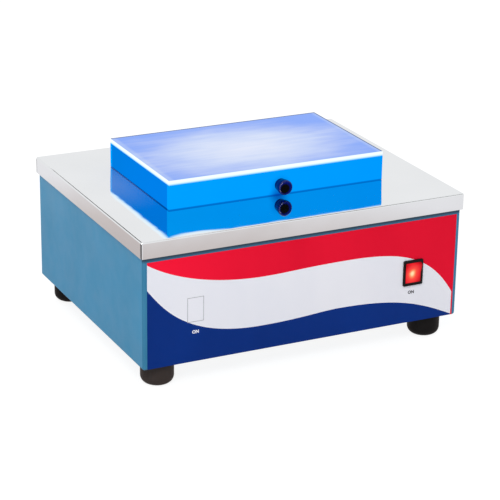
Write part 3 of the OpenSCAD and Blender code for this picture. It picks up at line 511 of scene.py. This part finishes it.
# %% Steel
polished_steel = finish("stainless_steel_mirror_polished", ("#e1e3e5", "#e4e6e8"), patch=90,
                        gloss=(0.02, 0.05), grain=80, relief=0.16, Metallic=1.0)
tree = polished_steel.node_tree
BOWL_DEPTH = 2.3 * MM
BULGE_RISE = 0.31 * MM
BULGE_AT = (skirt_low.x + 71 * MM, skirt_low.y + 14 * MM, skirt_high.z)
BULGE_HALVES = (41 * MM, 22 * MM, ANY_FAR)
HAZE_AT = (skirt_low.x + 48 * MM, 45 * MM, skirt_high.z)
HAZE_HALVES = (60 * MM, 120 * MM, ANY_FAR)
bowl = node(tree, "ShaderNodeBump", {
    "Height": reach(tree, (0, 0, 0), (skirt_high.x, skirt_high.y, ANY_FAR)), "Distance": BOWL_DEPTH})
bulge = node(tree, "ShaderNodeBump", {
    "Height": nearby(tree, BULGE_AT, BULGE_HALVES), "Distance": BULGE_RISE, "Normal": bowl})
waves = shader_of(polished_steel).inputs["Normal"].links[0].from_node
tree.links.new(bulge.outputs[0], waves.inputs["Normal"])
haze = nearby(tree, HAZE_AT, HAZE_HALVES, most=0.16)
clear = node(tree, "ShaderNodeMath", {0: 1.0, 1: haze}, operation="SUBTRACT")
tree.links.new(clear.outputs[0], shader_of(polished_steel).inputs["Metallic"])
brushed_steel = finish("stainless_steel_brushed", ("#c9cbcc", "#dfe0e0"), patch=0.5, gloss=(0.22, 0.34),
                       grain=0.35, relief=0.004, stretch=(30, 1, 1), Metallic=1.0)
zinc_steel = finish("zinc_plated_steel", ("#b9bcbc", "#d2d4d2"), patch=6, gloss=(0.3, 0.48),
                    grain=2, relief=0.005, Metallic=1.0)
print("made", polished_steel.name, brushed_steel.name, zinc_steel.name)

# %% [markdown]
# ## Azure acrylic, lit from inside
#
# The cover's walls are cast acrylic, tinted through and polished. The lamps below fill it with light, so
# nearly all of its colour is its own glow. A real volume would need thousands of light paths. An
# emission on a dark body gives the same look in a few, and it drowns what the wall would mirror, so the
# body mirrors nothing. The glow drifts from one blue to another along the wall and is weaker in the last
# millimetre above the steel, where the sawn edge isn't polished. The side walls' glow is painted darker,
# as painted shade. On the front wall a painted shadow lies round the knob and to its lower left, for the
# light that the knob keeps off the wall.

# %% Azure acrylic
wall_low, wall_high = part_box("cover_front_wall")
sheet_low, sheet_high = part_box("cover_top_sheet")
knob_low, knob_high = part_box("cover_knob")
knob_middle = (knob_low + knob_high) / 2
DULL_EDGE = 0.8 * MM
# Each painted shadow: where it is from the knob and how far it goes, in mm, and how dark it gets.
KNOB_SHADES = (((0, 0, -2), (16, 100, 16), 0.5), ((-3, 0, -14), (16, 100, 13), 0.8))


def azure_acrylic(name, near_hex, far_hex, edge_hex, axis, start, end):
    """Tinted acrylic that glows from one colour to another along an axis."""
    material = finish(name, ("#00122c", "#001838"), patch=40, gloss=(0.04, 0.08), grain=30, relief=0.01,
                      IOR=1.49, Specular_IOR_Level=0.0)
    tree = material.node_tree
    cloud = node(tree, "ShaderNodeMath", {0: share(tree, axis, start, end),
                                          1: uneven(tree, 35, -0.15, 0.15)}, operation="ADD",
                 use_clamp=True)
    glow(material, colour_steps(tree, cloud, (0, near_hex), (1, far_hex)), 1.0)
    sawn_edge = share(tree, "Z", wall_low.z + 1.3 * DULL_EDGE, wall_low.z + DULL_EDGE)
    tone(material, edge_hex, sawn_edge, "Emission Color")
    return material


LONG_WALL = ("#00a0fe", "#0099fd", "#0078d8", "X", wall_low.x, wall_high.x)
azure_rear = azure_acrylic("acrylic_azure_rear", *LONG_WALL)
azure_front = azure_acrylic("acrylic_azure_front", *LONG_WALL)
# Painted shadows of the knob, darkening the front wall's glow.
for offset, halves, most in KNOB_SHADES:
    tone(azure_front, "#0030a0", nearby(azure_front.node_tree, knob_middle + Vector(offset) * MM,
                                        Vector(halves) * MM, most), "Emission Color")
# Painted shade: the side walls are the same acrylic, with their glow painted darker.
azure_side_shaded = azure_acrylic("acrylic_azure_side_painted_shade", "#007fea", "#007ce0", "#0050a4", "Y", sheet_low.y,
                           sheet_high.y)
print("made", azure_front.name, azure_side_shaded.name)

# %% [markdown]
# ## The glowing sheet
#
# The sheet on top is clear acrylic over six ultraviolet tubes. From above it is a soft periwinkle field,
# whitest a little in front of its middle, with faint streaks that follow the tubes. Its sawn and
# polished edges carry light like a fibre and shine almost white. One material does all of it: the
# distance from the bright spot, bent by a stretched noise, sets the field, the ends have a paler border
# where the walls below are glued on, a thin dark line shows that joint at the far and the right edge, and
# the surface normal tells a sawn edge from the face.

# %% Glowing sheet
clear_acrylic = finish("acrylic_clear_lit", ("#10131c", "#141824"), patch=40, gloss=(0.06, 0.12), grain=40,
                       relief=0.01, IOR=1.49, Specular_IOR_Level=0.03)
tree = clear_acrylic.node_tree
sheet_half = (sheet_high - sheet_low) / 2
BRIGHT_SPOT = (sheet_low + sheet_high) / 2 - Vector((0.06 * sheet_half.x, 0.16 * sheet_half.y, 0))
FIELD_HALF = (1.3 * sheet_half.x, 1.3 * sheet_half.y, ANY_FAR)
streaks = node(tree, "ShaderNodeMath", {0: uneven(tree, 8, -0.07, 0.07, stretch=(9, 1, 1)),
                                        1: uneven(tree, 34, -0.1, 0.1, stretch=(2, 1, 1))},
               operation="ADD")
away = node(tree, "ShaderNodeMath", {0: reach(tree, BRIGHT_SPOT, FIELD_HALF), 1: streaks},
            operation="ADD")
FACE_GLOW, EDGE_GLOW = 0.9, 1.13
glow(clear_acrylic, colour_steps(
    tree, away, (0.0, "#e4ebfe"), (0.25, "#d8e3fd"), (0.48, "#c6d6fc"), (0.68, "#aec3fb"),
    (0.82, "#97b4fb"), (1.0, "#82a8fc")), FACE_GLOW)
BORDER = 8 * MM
BORDER_PALE = 0.3
border = node(tree, "ShaderNodeMath", {0: share(tree, "X", sheet_high.x - BORDER, sheet_high.x - BORDER / 2),
                                       1: share(tree, "X", sheet_low.x + BORDER, sheet_low.x + BORDER / 2)},
              operation="MAXIMUM")
pale = node(tree, "ShaderNodeMath", {0: border, 1: BORDER_PALE}, operation="MULTIPLY")
tone(clear_acrylic, "#d4e4fb", pale, "Emission Color")
FAR_LINE = 1.8 * MM
far_line = node(tree, "ShaderNodeMath", {
    0: share(tree, "X", sheet_high.x - 1.4 * FAR_LINE, sheet_high.x - FAR_LINE),
    1: share(tree, "Y", sheet_high.y - 1.9 * FAR_LINE, sheet_high.y - 1.3 * FAR_LINE)}, operation="MAXIMUM")
tone(clear_acrylic, "#4c648f", far_line, "Emission Color")
print("made", clear_acrylic.name)

# %% Sawn edges of the sheet
surface = node(tree, "ShaderNodeNewGeometry")
upright = node(tree, "ShaderNodeSeparateXYZ", {0: surface.outputs["Normal"]})
steep = node(tree, "ShaderNodeMath", {0: upright.outputs["Z"]}, operation="ABSOLUTE")
SAWN_UP, FACE_UP = 0.55, 0.9
sawn = node(tree, "ShaderNodeMapRange", {0: steep, 1: SAWN_UP, 2: FACE_UP, 3: 1.0, 4: 0.0})
edge = colour_steps(tree, share(tree, "Z", sheet_low.z, sheet_high.z), (0.1, "#7cc4ff"), (0.3, "#d2eaff"),
                    (0.55, "#ecf9ff"))
shining = shader_of(clear_acrylic).inputs
field = shining["Emission Color"].links[0].from_socket
whole = node(tree, "ShaderNodeMix", {0: sawn, 6: field, 7: edge}, data_type="RGBA")
strength = node(tree, "ShaderNodeMapRange", {0: sawn, 3: FACE_GLOW, 4: EDGE_GLOW})
tree.links.new(whole.outputs[2], shining["Emission Color"])
tree.links.new(strength.outputs[0], shining["Emission Strength"])
print("edges shine", round(EDGE_GLOW / FACE_GLOW, 2), "times as strong as the face")

# %% [markdown]
# ## Plastics and rubber
#
# Dark finishes look alike at first and differ only in gloss. The knob is black phenolic, painted navy as
# painted blue light from the glowing walls. Its flank is polished, its rim is buffed so that the white
# strip draws a bright curve on it, and its face is matt, with a black middle, a painted dark reflection,
# that lies a little off its axis. The switch frame and the inlet are moulded with a fine spark-eroded
# texture. The feet are rubber with a wide, weak sheen, and the front left one gets a lighter, brownish
# painted sheen.

# %% Plastics and rubber
# The navy of all three knob finishes is painted blue light from the glowing walls on black phenolic.
knob_flank_blue_lit = finish("phenolic_black_polished_blue_lit", ("#000c5a", "#001066"), patch=8, gloss=(0.12, 0.2), grain=5,
                   relief=0.005, Specular_IOR_Level=0.14)
knob_rim = finish("phenolic_black_buffed_blue_lit", ("#000c5a", "#001066"), patch=8, gloss=(0.06, 0.1), grain=5,
                  relief=0.005, Specular_IOR_Level=0.3)
knob_matt = finish("phenolic_black_matt_dark_reflection", ("#000e64", "#00126c"), patch=8, gloss=(0.3, 0.4), grain=1,
                   relief=0.005, Specular_IOR_Level=0.04)
# Painted reflection: the middle of the face is painted black for the dark that it mirrors.
DARK_REFLECTION_AT = (knob_middle.x - 1.6 * MM, knob_low.y, knob_middle.z - 0.4 * MM)
DARK_REFLECTION_HALVES = (6.8 * MM, ANY_FAR, 6.8 * MM)
tone(knob_matt, "#020203", nearby(knob_matt.node_tree, DARK_REFLECTION_AT, DARK_REFLECTION_HALVES, full=0.7))
moulded_black = finish("nylon_black_moulded", ("#060606", "#0d0d0e"), patch=3, gloss=(0.32, 0.44),
                       grain=0.6, relief=0.012, IOR=1.53, Specular_IOR_Level=0.16)
rubber = finish("rubber_black_moulded", ("#070607", "#0d0c0c"), patch=9, gloss=(0.46, 0.6), grain=1.3,
                relief=0.02, Specular_IOR_Level=0.16)
# Painted light: the front left foot gets a lighter, brownish painted sheen.
LIT_FOOT_HALVES = (90 * MM, 90 * MM, ANY_FAR)
tone(rubber, "#3f3734", nearby(rubber.node_tree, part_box("rubber_feet")[0], LIT_FOOT_HALVES, most=0.8, full=0.5))
white_plastic = finish("polycarbonate_white", ("#e8e8e2", "#f2f2ee"), patch=12, gloss=(0.34, 0.44),
                       grain=0.8, relief=0.008, IOR=1.58)
print("made", knob_flank_blue_lit.name, moulded_black.name, rubber.name, white_plastic.name)

# %% [markdown]
# ## Lit rocker
#
# The rocker is red polycarbonate with a small neon lamp behind it. The lamp shows as a hot spot, nearly
# white in its middle, then orange, then the red of the plastic, and the corners stay dark. The spot lies
# a little left of the middle and is taller than it is wide, as neon lamps are.

# %% Lit rocker
rocker_low, rocker_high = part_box("switch_rocker")
NEON_HALF = Vector((13.5, 60.0, 18.0)) * MM
neon_at = (rocker_low + rocker_high) / 2 + Vector((-1.6, 0, -0.5)) * MM
rocker_red = finish("polycarbonate_red_lit", ("#5c0408", "#70060c"), patch=10, gloss=(0.12, 0.2), grain=6,
                    relief=0.004, IOR=1.58, Specular_IOR_Level=0.12)
tree = rocker_red.node_tree
heat = colour_steps(tree, reach(tree, neon_at, NEON_HALF), (0.0, "#fff4c8"), (0.12, "#ffe0a8"),
                    (0.26, "#ff8a5c"), (0.4, "#f64a3e"), (0.72, "#e01c28"), (1.0, "#8c0a12"))
glow(rocker_red, heat, 0.95)
print("made", rocker_red.name)

# %% [markdown]
# ## Printed film
#
# The panel is a polycarbonate film, printed on its back in three flat colours. Its front is smooth but
# not glossy, so it has a soft sheen and the colours stay deep. The film is laid on by hand, and slow
# waves in it, of the order of a few centimetres, break up that sheen. The red is painted brighter to the
# left, as painted light from the key lamp's side.

# %% Printed film
def printed_film(name, hex_dark, hex_light):
    """One printed colour under the film's satin surface."""
    return finish(name, (hex_dark, hex_light), patch=60, gloss=(0.3, 0.4), grain=35, relief=0.06,
                  stretch=(1, 1, 3), IOR=1.58, Specular_IOR_Level=0.08)


film_white = printed_film("printed_film_white", "#e8ecf5", "#eef1f8")
film_red = printed_film("printed_film_red", "#e2052c", "#ea0a30")
# Painted light: the red is painted brighter towards the left, where the key lamp hangs.
tone(film_red, "#ff1038", share(film_red.node_tree, "X", -0.1 * skirt_high.x, skirt_low.x))
film_navy = printed_film("printed_film_navy", "#002c7a", "#003082")
ink_dark = printed_film("printed_ink_dark", "#23252c", "#2c2e36")
ink_grey = printed_film("printed_ink_grey", "#9c9fa6", "#a8abb2")
print("made", film_white.name, film_red.name, film_navy.name)

# %% [markdown]
# ## Lamps, glass and the electric parts
#
# Under the cover lies a pane of ultraviolet glass, nearly black when the lamps are off and violet when
# they are on. The six tubes stand out in it as brighter bars, so the glow is a wave across the tubes.
# The parts inside are seen only through the vents, and get simple finishes of the right kind.

# %% Glass and tubes
tube_low, tube_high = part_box("uv_tubes")
TUBES = 6
tube_d = tube_high.z - tube_low.z
tube_pitch = (tube_high.y - tube_low.y - tube_d) / (TUBES - 1)

filter_violet = finish("filter_glass_lit", ("#150c28", "#1d1236"), patch=30, gloss=(0.03, 0.06), grain=40,
                       relief=0.005, IOR=1.52, Specular_IOR_Level=0.4)
tree = filter_violet.node_tree
place = node(tree, "ShaderNodeTexCoord")
split = node(tree, "ShaderNodeSeparateXYZ", {0: place.outputs["Object"]})
phase = node(tree, "ShaderNodeMath", {0: split.outputs["Y"], 1: -tube_low.y - tube_d / 2}, operation="ADD")
turns = node(tree, "ShaderNodeMath", {0: phase, 1: 2 * math.pi / tube_pitch},
             operation="MULTIPLY")
wave = node(tree, "ShaderNodeMath", {0: turns}, operation="COSINE")
bars = node(tree, "ShaderNodeMapRange", {0: wave, 1: -1.0, 2: 1.0})
glow(filter_violet, colour_steps(tree, bars, (0, "#3c28b0"), (0.55, "#6a50f0"), (1, "#b4a4ff")), 0.9)

tube_glass = finish("tube_glass_lit", ("#d8d8ff", "#e4e4ff"), patch=20, gloss=(0.06, 0.1), grain=20,
                    relief=0.002)
tree = tube_glass.node_tree
glow(tube_glass, colour_steps(tree, uneven(tree, 20, 0, 1), (0, "#8f7cff"), (1, "#a99aff")), 0.9)
fuse_glass = finish("clear_tube_glass", ("#c4d2d6", "#dde6e8"), patch=3, gloss=(0.03, 0.08), grain=3,
                    relief=0.002)
print("made", filter_violet.name, tube_glass.name, fuse_glass.name)

# %% Metals and enamels inside
reflector_metal = finish("aluminium_reflector_sheet", ("#d8dade", "#e8e9ec"), patch=0.8, gloss=(0.16, 0.26),
                         grain=0.5, relief=0.003, stretch=(40, 1, 1), Metallic=1.0)
contact_brass = finish("brass_nickel_plated", ("#c9c0a8", "#d8d2c0"), patch=5, gloss=(0.2, 0.3), grain=2,
                       relief=0.003, Metallic=1.0)
frame_paint = finish("enamel_dark_grey", ("#2c2d2f", "#37383a"), patch=15, gloss=(0.4, 0.5), grain=1.5,
                     relief=0.015)
ballast_paint = finish("enamel_off_white", ("#e4e3dc", "#efeee8"), patch=20, gloss=(0.45, 0.55), grain=1.5,
                       relief=0.015)
print("made", reflector_metal.name, contact_brass.name, frame_paint.name, ballast_paint.name)

# %% [markdown]
# ## Case and top
#
# Both are folded sheet. Their folds are already round in the frame, and only the cut edges need a
# radius, of about a third of the sheet.

# %% Case and top
case_piece = dressed("folded_case", "cabinet_shell", "case_paint", powder_blue, edge=0.3)
top_piece = dressed("folded_top", "steel_top", "polished_steel", polished_steel, edge=0.25)
print(len(case_piece.data.polygons), "and", len(top_piece.data.polygons), "faces")

# %% [markdown]
# ## Cover
#
# The walls are cut strips, glued at the corners under the sheet. Sawn acrylic is flame polished, which
# rounds its edges by some tenths of a millimetre. The knob has three finishes, and how far a face of it
# looks forward tells which one it gets: flank, rim or face.

# %% Cover
for name, cad_name, acrylic in (
        ("front_acrylic", "cover_front_wall", azure_front), ("rear_acrylic", "cover_rear_wall", azure_rear),
        ("left_acrylic", "cover_left_wall", azure_side_shaded), ("right_acrylic", "cover_right_wall", azure_side_shaded)):
    dressed(name, cad_name, "azure_acrylic", acrylic, edge=0.35)
dressed("lit_acrylic_sheet", "cover_top_sheet", "clear_acrylic", clear_acrylic, edge=0.7, segments=3)
knob_piece = dressed("turned_knob", "cover_knob", "black_plastic", knob_flank_blue_lit, knob_rim, knob_matt,
                     edge=0.4, segments=3)
RIM_NORMAL, FACE_NORMAL = -0.12, -0.9
for face in knob_piece.data.polygons:
    if face.center.y < knob_middle.y:
        face.material_index = int(face.normal.y < RIM_NORMAL) + int(face.normal.y < FACE_NORMAL)
print("cover is", round((sheet_high.x - sheet_low.x) / MM), "mm wide")

# %% [markdown]
# ## Switch and feet
#
# The switch's frame and rocker are injection moulded and the feet are pressed rubber, so every edge of
# theirs is round by about half a millimetre. Their shapes are complete in the frame, and a bevel of three
# segments is all that they need.

# %% Switch and feet
dressed("switch_frame", "switch_body", "black_plastic", moulded_black, edge=0.5, segments=3)
dressed("lit_rocker", "switch_rocker", "red_rocker", rocker_red, edge=0.6, segments=3)
dressed("round_feet", "rubber_feet", "black_rubber", rubber, edge=0.6, segments=3)
print("switch and feet are dressed")

# %% [markdown]
# ## Panel print
#
# The film's three colours meet along two long waves. A picture of the print would blur when seen close,
# so the waves are cut into the film's mesh: it is built in columns, and each column has four heights,
# which are the film's upper edge, the two waves and its lower edge. The waves are cubic curves with a
# few control points each, given as shares of the film's width and, from the top, of its height. They
# stop a little short of the right edge, where a narrow strip is red from top to bottom.

# %% Wave curves
film_low, film_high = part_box("front_overlay")
film_w = film_high.x - film_low.x
film_h = film_high.z - film_low.z
PRINT_END = 0.995
RED_WAVE = (((0, 0.022), (0.06, 0.144), (0.18, 0.301), (0.37, 0.301)),
            ((0.37, 0.301), (0.44, 0.301), (0.5, 0.28), (0.63, 0.28)),
            ((0.63, 0.28), (0.81, 0.28), (0.915, 0.354), (PRINT_END, 0.765)))
NAVY_WAVE = (((0, 0.258), (0.055, 0.484), (0.13, 0.77), (0.36, 0.77)),
             ((0.36, 0.77), (0.49, 0.77), (0.55, 0.734), (0.61, 0.734)),
             ((0.61, 0.734), (0.81, 0.734), (0.89, 0.834), (PRINT_END, 0.99)))


HALVINGS = 30


def curve_point(knots, t):
    """A point of one cubic curve."""
    s = 1 - t
    weights = (s ** 3, 3 * s * s * t, 3 * s * t * t, t ** 3)
    return tuple(sum(w * k[i] for w, k in zip(weights, knots)) for i in (0, 1))


def wave_height(wave, across):
    """How far down the wave is at a share of the width, found by halving along its curve."""
    knots = next(k for k in wave if across <= k[3][0] or k is wave[-1])
    low, high = 0.0, 1.0
    for _ in range(HALVINGS):
        middle = (low + high) / 2
        if curve_point(knots, middle)[0] < across:
            low = middle
        else:
            high = middle
    return curve_point(knots, low)[1]


print("red wave at mid width:", round(wave_height(RED_WAVE, 0.5), 3))

# %% Panel film
COLUMNS = 120
film_shares = [PRINT_END * i / COLUMNS for i in range(COLUMNS + 1)] + [1.0]
WHITE, RED, NAVY = range(3)
work = bmesh.new()
columns = []
for across in film_shares:
    inside = min(across, PRINT_END)
    levels = (0, wave_height(RED_WAVE, inside), wave_height(NAVY_WAVE, inside), 1)
    columns.append([work.verts.new((film_low.x + across * film_w, film_low.y, film_high.z - v * film_h))
                    for v in levels])
for left, right in zip(columns, columns[1:]):
    last = right is columns[-1]
    for row, colour in enumerate((RED, WHITE, NAVY)):
        face = work.faces.new((left[row], left[row + 1], right[row + 1], right[row]))
        face.material_index = RED if last else colour
# The film gets its thickness along the faces' normals, which new faces don't have before this.
work.normal_update()
bmesh.ops.solidify(work, geom=list(work.faces), thickness=film_high.y - film_low.y)
bmesh.ops.recalc_face_normals(work, faces=work.faces)
film = piece_from(work, "printed_panel_film", film_white, film_red, film_navy)
print("film is", round(film.dimensions.y / MM, 2), "mm thick")

# %% [markdown]
# The film is cut out for the switch. The cutter is a plain block a little smaller than the switch frame,
# which hides the cut edge, as it does on the real panel.

# %% Cut-out for the switch
switch_low, switch_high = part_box("switch_body")
switch_middle = (switch_low + switch_high) / 2
FRAME_LIP = Vector((1.3, 0, 1.3)) * MM
work = bmesh.new()
bmesh.ops.create_cube(work, size=1.0)
for vertex in work.verts:
    vertex.co = switch_middle + vertex.co * (switch_high - switch_low - 2 * FRAME_LIP)
cutter = piece_from(work, "switch_cutter")
cut = film.modifiers.new("switch_hole", "BOOLEAN")
cut.operation = "DIFFERENCE"
cut.solver = "EXACT"
cut.object = cutter
settle(film)
bpy.data.objects.remove(cutter)
finish_piece(film, "case", "printed_overlay", "front_overlay")
print("film has", len(film.data.polygons), "faces")

# %% [markdown]
# ## Lines and words on the film
#
# At the left the film has only the outline of a second switch, and below each place stands the word
# ON. Ink has almost no height, but a mesh that lies in the film's own surface would flicker, so each
# print stands a few hundredths of a millimetre proud. Words are made as text, turned into a mesh first
# and only then put in place, because an export drops what a text object would become.

# %% Outline of the second switch
INK = 0.04 * MM
SPARE_SHIFT = 1.5 * MM
spare_x = film_low.x + film_high.x - switch_middle.x + SPARE_SHIFT
SPARE_W, SPARE_H, LINE = 19.8 * MM, 29.0 * MM, 0.6 * MM
work = bmesh.new()
rings = []
for inset in (0, LINE):
    for y in (film_low.y, film_low.y - INK):
        rings.append([work.verts.new((spare_x + x * (SPARE_W / 2 - inset), y,
                                      switch_middle.z + z * (SPARE_H / 2 - inset))) for x, z in SQUARE])
outer_back, outer_front, inner_back, inner_front = rings
for first, second in ((outer_back, outer_front), (outer_front, inner_front), (inner_front, inner_back),
                      (inner_back, outer_back)):
    for i in range(4):
        j = (i + 1) % 4
        work.faces.new((first[i], first[j], second[j], second[i]))
bmesh.ops.recalc_face_normals(work, faces=work.faces)
finish_piece(piece_from(work, "spare_switch_outline", ink_grey), "case", "printed_overlay")
print("prints lie", round(INK / MM, 2), "mm proud")

# %% Words
CAPITALS = 3.6 * MM
CAP_SHARE = 0.7
INK_WEIGHT = 0.22 * MM


def printed_word(name, word, x, z, ink):
    """A word in ink, centred on x and z. Capitals take up a fixed share of the text's size."""
    text = bpy.data.curves.new(name, "FONT")
    text.body = word
    text.size = CAPITALS / CAP_SHARE
    text.align_x = "CENTER"
    text.align_y = "CENTER"
    text.extrude = INK / 2
    text.offset = INK_WEIGHT
    text.resolution_u = 4
    holder = put_in_scene(name, text)
    mesh = shown_mesh(holder)
    bpy.data.objects.remove(holder)
    mesh.transform(Matrix.Translation((x, film_low.y - INK / 2, z)) @ Matrix.Rotation(math.pi / 2, 4, "X"))
    mesh.materials.clear()
    mesh.materials.append(ink)
    finish_piece(put_in_scene(name, mesh), "case", "printed_overlay")


LEFT_DROP, RIGHT_DROP = 26.6 * MM, 24.6 * MM
RIGHT_SHIFT = -1.0 * MM
printed_word("on_word_left", "ON", spare_x, switch_middle.z - LEFT_DROP, film_white)
printed_word("on_word_right", "ON", switch_middle.x + RIGHT_SHIFT, switch_middle.z - RIGHT_DROP, ink_dark)
print("capitals are", round(CAPITALS / MM, 1), "mm tall")

# %% [markdown]
# ## Screws
#
# All visible screws have a cross recess. They come in two shapes, three head sizes and five lengths, so
# one Geometry Nodes tree makes them all: two stacked cones are a countersunk or a pan head, depending on
# their radii, a boolean takes out the cross, and each head is turned by its own fixed random angle,
# because no two screws stop alike. The tree works on the outermost points of the frame's own screws.

# %% Screw tree
# A small countersunk screw, in mm. The other heads give other numbers to the same names.
COUNTERSUNK = {"Neck radius": 1.5, "Rim radius": 2.5, "Crown radius": 2.4, "Lower height": 0.6,
               "Upper height": 0.05, "Shank radius": 1.5, "Cross width": 0.6, "Cross span": 2.8,
               "Cross depth": 0.45}
screws = bpy.data.node_groups.new("crossed_screws", "GeometryNodeTree")
screws.is_modifier = True
for label, kind in (("Geometry", "Geometry"), ("Facing", "Vector"), ("Material", "Material"),
                    ("Shank length", "Float"), *[(size, "Float") for size in COUNTERSUNK]):
    screws.interface.new_socket(label, in_out="INPUT", socket_type="NodeSocket" + kind)
screws.interface.new_socket("Geometry", in_out="OUTPUT", socket_type="NodeSocketGeometry")
given = node(screws, "NodeGroupInput").outputs


def lowered(tree, geometry, depths):
    """Geometry moved down along Z by the sum of some sockets' values."""
    total = depths[0]
    for depth in depths[1:]:
        total = node(tree, "ShaderNodeMath", {0: total, 1: depth}, operation="ADD")
    drop = node(tree, "ShaderNodeMath", {0: total, 1: -1.0}, operation="MULTIPLY")
    offset = node(tree, "ShaderNodeCombineXYZ", {"Z": drop})
    return node(tree, "GeometryNodeTransform", {"Geometry": geometry, "Translation": offset}).outputs[0]


AROUND = 24
whole = node(screws, "GeometryNodeMeshBoolean", operation="UNION", solver="EXACT")
depths = []
for top, bottom, depth in (("Crown radius", "Rim radius", "Upper height"),
                           ("Rim radius", "Neck radius", "Lower height"),
                           ("Shank radius", "Shank radius", "Shank length")):
    cone = node(screws, "GeometryNodeMeshCone", {
        "Vertices": AROUND, "Radius Top": given[top], "Radius Bottom": given[bottom],
        "Depth": given[depth]})
    depths.append(given[depth])
    screws.links.new(lowered(screws, cone.outputs["Mesh"], depths), whole.inputs["Mesh 2"])
twice = node(screws, "ShaderNodeMath", {0: given["Cross depth"], 1: 2.0}, operation="MULTIPLY")
cross = node(screws, "GeometryNodeMeshBoolean", operation="DIFFERENCE", solver="EXACT")
screws.links.new(whole.outputs[0], cross.inputs["Mesh 1"])
for x, y in (("Cross span", "Cross width"), ("Cross width", "Cross span")):
    size = node(screws, "ShaderNodeCombineXYZ", {"X": given[x], "Y": given[y], "Z": twice})
    arm = node(screws, "GeometryNodeMeshCube", {"Size": size})
    screws.links.new(arm.outputs["Mesh"], cross.inputs["Mesh 2"])
facing = node(screws, "FunctionNodeAlignRotationToVector", {"Vector": given["Facing"]}, axis="Z")
spots = node(screws, "GeometryNodeInstanceOnPoints", {
    "Points": given["Geometry"], "Instance": cross, "Rotation": facing})
# Socket 3 is the highest random number: half a turn takes in every way that a cross can lie.
angle = node(screws, "FunctionNodeRandomValue", {"Seed": 7, 3: math.pi}, data_type="FLOAT")
own_turn = node(screws, "ShaderNodeCombineXYZ", {"Z": angle.outputs[1]})
turned = node(screws, "GeometryNodeRotateInstances", {
    "Instances": spots, "Rotation": own_turn, "Local Space": True})
real = node(screws, "GeometryNodeRealizeInstances", {"Geometry": turned})
coloured = node(screws, "GeometryNodeSetMaterial", {"Geometry": real, "Material": given["Material"]})
node(screws, "NodeGroupOutput", {"Geometry": coloured})
print("screw tree has", len(screws.nodes), "nodes")

# %% Screws in place
def island_boxes(cad_name):
    """The lowest and highest corners of each separate solid of a part."""
    work = merged_copy(cad_name)
    left = set(work.verts)
    boxes = []
    while left:
        island = [left.pop()]
        for vertex in island:
            for edge in vertex.link_edges:
                other = edge.other_vert(vertex)
                if other in left:
                    left.remove(other)
                    island.append(other)
        boxes.append([Vector([pick(v.co[i] for v in island) for i in range(3)]) for pick in (min, max)])
    work.free()
    return sorted(boxes, key=lambda box: tuple(round(c, 6) for c in box[0]))


def crossed_screws(name, cad_name, facing, head, length):
    """Zinc plated screws with a cross recess where the part has its plain ones. Sizes are in mm."""
    tops = []
    for low, high in island_boxes(cad_name):
        middle, half = (low + high) / 2, (high - low) / 2
        tops.append(middle + Vector(f * h for f, h in zip(facing, half)))
    mesh = bpy.data.meshes.new(name)
    mesh.from_pydata(tops, [], [])
    piece = put_in_scene(name, mesh)
    make = piece.modifiers.new("screws", "NODES")
    make.node_group = screws
    sockets = {item.name: item.identifier for item in screws.interface.items_tree
               if item.in_out == "INPUT"}
    for label, size in {**head, "Shank length": length}.items():
        make[sockets[label]] = size * MM
    make[sockets["Facing"]] = facing
    make[sockets["Material"]] = zinc_steel
    settle(piece)
    smooth_by_angle(piece.data, degrees=30)
    finish_piece(piece, body_of(cad_name), "zinc_steel", cad_name)


UP, DOWN, BACKWARD = (0.0, 0.0, 1.0), (0.0, 0.0, -1.0), (0.0, 1.0, 0.0)
SMALL_PAN = {"Neck radius": 3.0, "Rim radius": 3.0, "Crown radius": 2.1, "Lower height": 0.9,
             "Upper height": 0.9, "Shank radius": 1.5, "Cross width": 0.7, "Cross span": 3.2,
             "Cross depth": 1.0}
CASE_PAN = {"Neck radius": 4.0, "Rim radius": 4.0, "Crown radius": 2.8, "Lower height": 1.1,
            "Upper height": 1.1, "Shank radius": 2.0, "Cross width": 0.9, "Cross span": 4.2,
            "Cross depth": 1.3}
crossed_screws("hinge_screws_in_top", "hinge_top_screws", UP, COUNTERSUNK, length=4.65)
crossed_screws("hinge_screws_in_cover", "hinge_cover_screws", BACKWARD, COUNTERSUNK, length=4.3)
crossed_screws("inlet_flange_screws", "inlet_screws", BACKWARD, SMALL_PAN, length=7.6)
crossed_screws("base_plate_screws", "base_screws", DOWN, CASE_PAN, length=6.9)
crossed_screws("rubber_foot_screws", "foot_screws", DOWN, CASE_PAN, length=21.9)
print("screws are in place")

# %% [markdown]
# ## Hinges, inlet and what lies inside
#
# The hinges are brushed stainless steel and the inlet is moulded nylon with nickel-plated blades. The
# parts inside keep the frame's own meshes and only get their materials.

# %% Hinges and inlet
dressed("fixed_hinge_leaves", "hinge_fixed_leaves", "hinge_steel", brushed_steel, edge=0.15)
dressed("moving_hinge_leaves", "hinge_moving_leaves", "hinge_steel", brushed_steel, edge=0.15)
dressed("mains_inlet", "power_inlet", "black_plastic", moulded_black, edge=0.35)
dressed("fuse_drawer_grip", "fuse_drawer", "black_plastic", moulded_black, edge=0.35)
print("hinges and inlet are dressed")

# %% Parts that keep their mesh
KEPT = {
    zinc_steel: ("base_plate", "base_nuts", "foot_nuts", "top_studs", "top_nuts", "filter_nuts",
                 "hinge_top_nuts", "knob_screw", "inlet_nuts", "lamp_rails", "rail_screws", "rail_nuts",
                 "ballast_screws", "ballast_nuts", "earth_stud"),
    brushed_steel: ("hinge_pins",),
    contact_brass: ("switch_terminals", "inlet_blades", "tube_caps"),
    rubber: ("filter_gasket",),
    filter_violet: ("filter_glass",),
    frame_paint: ("filter_frame",),
    ballast_paint: ("ballasts",),
    white_plastic: ("lamp_holders", "terminal_block"),
    reflector_metal: ("reflector",),
    tube_glass: ("uv_tubes",),
    fuse_glass: ("fuses",)}
for material, names in KEPT.items():
    for name in names:
        CAD[name].data.materials.clear()
        CAD[name].data.materials.append(material)
print(sum(len(names) for names in KEPT.values()), "parts keep their mesh")

# %% [markdown]
# ## Closing
#
# The last cell only imports json.

# %% Import json
import json
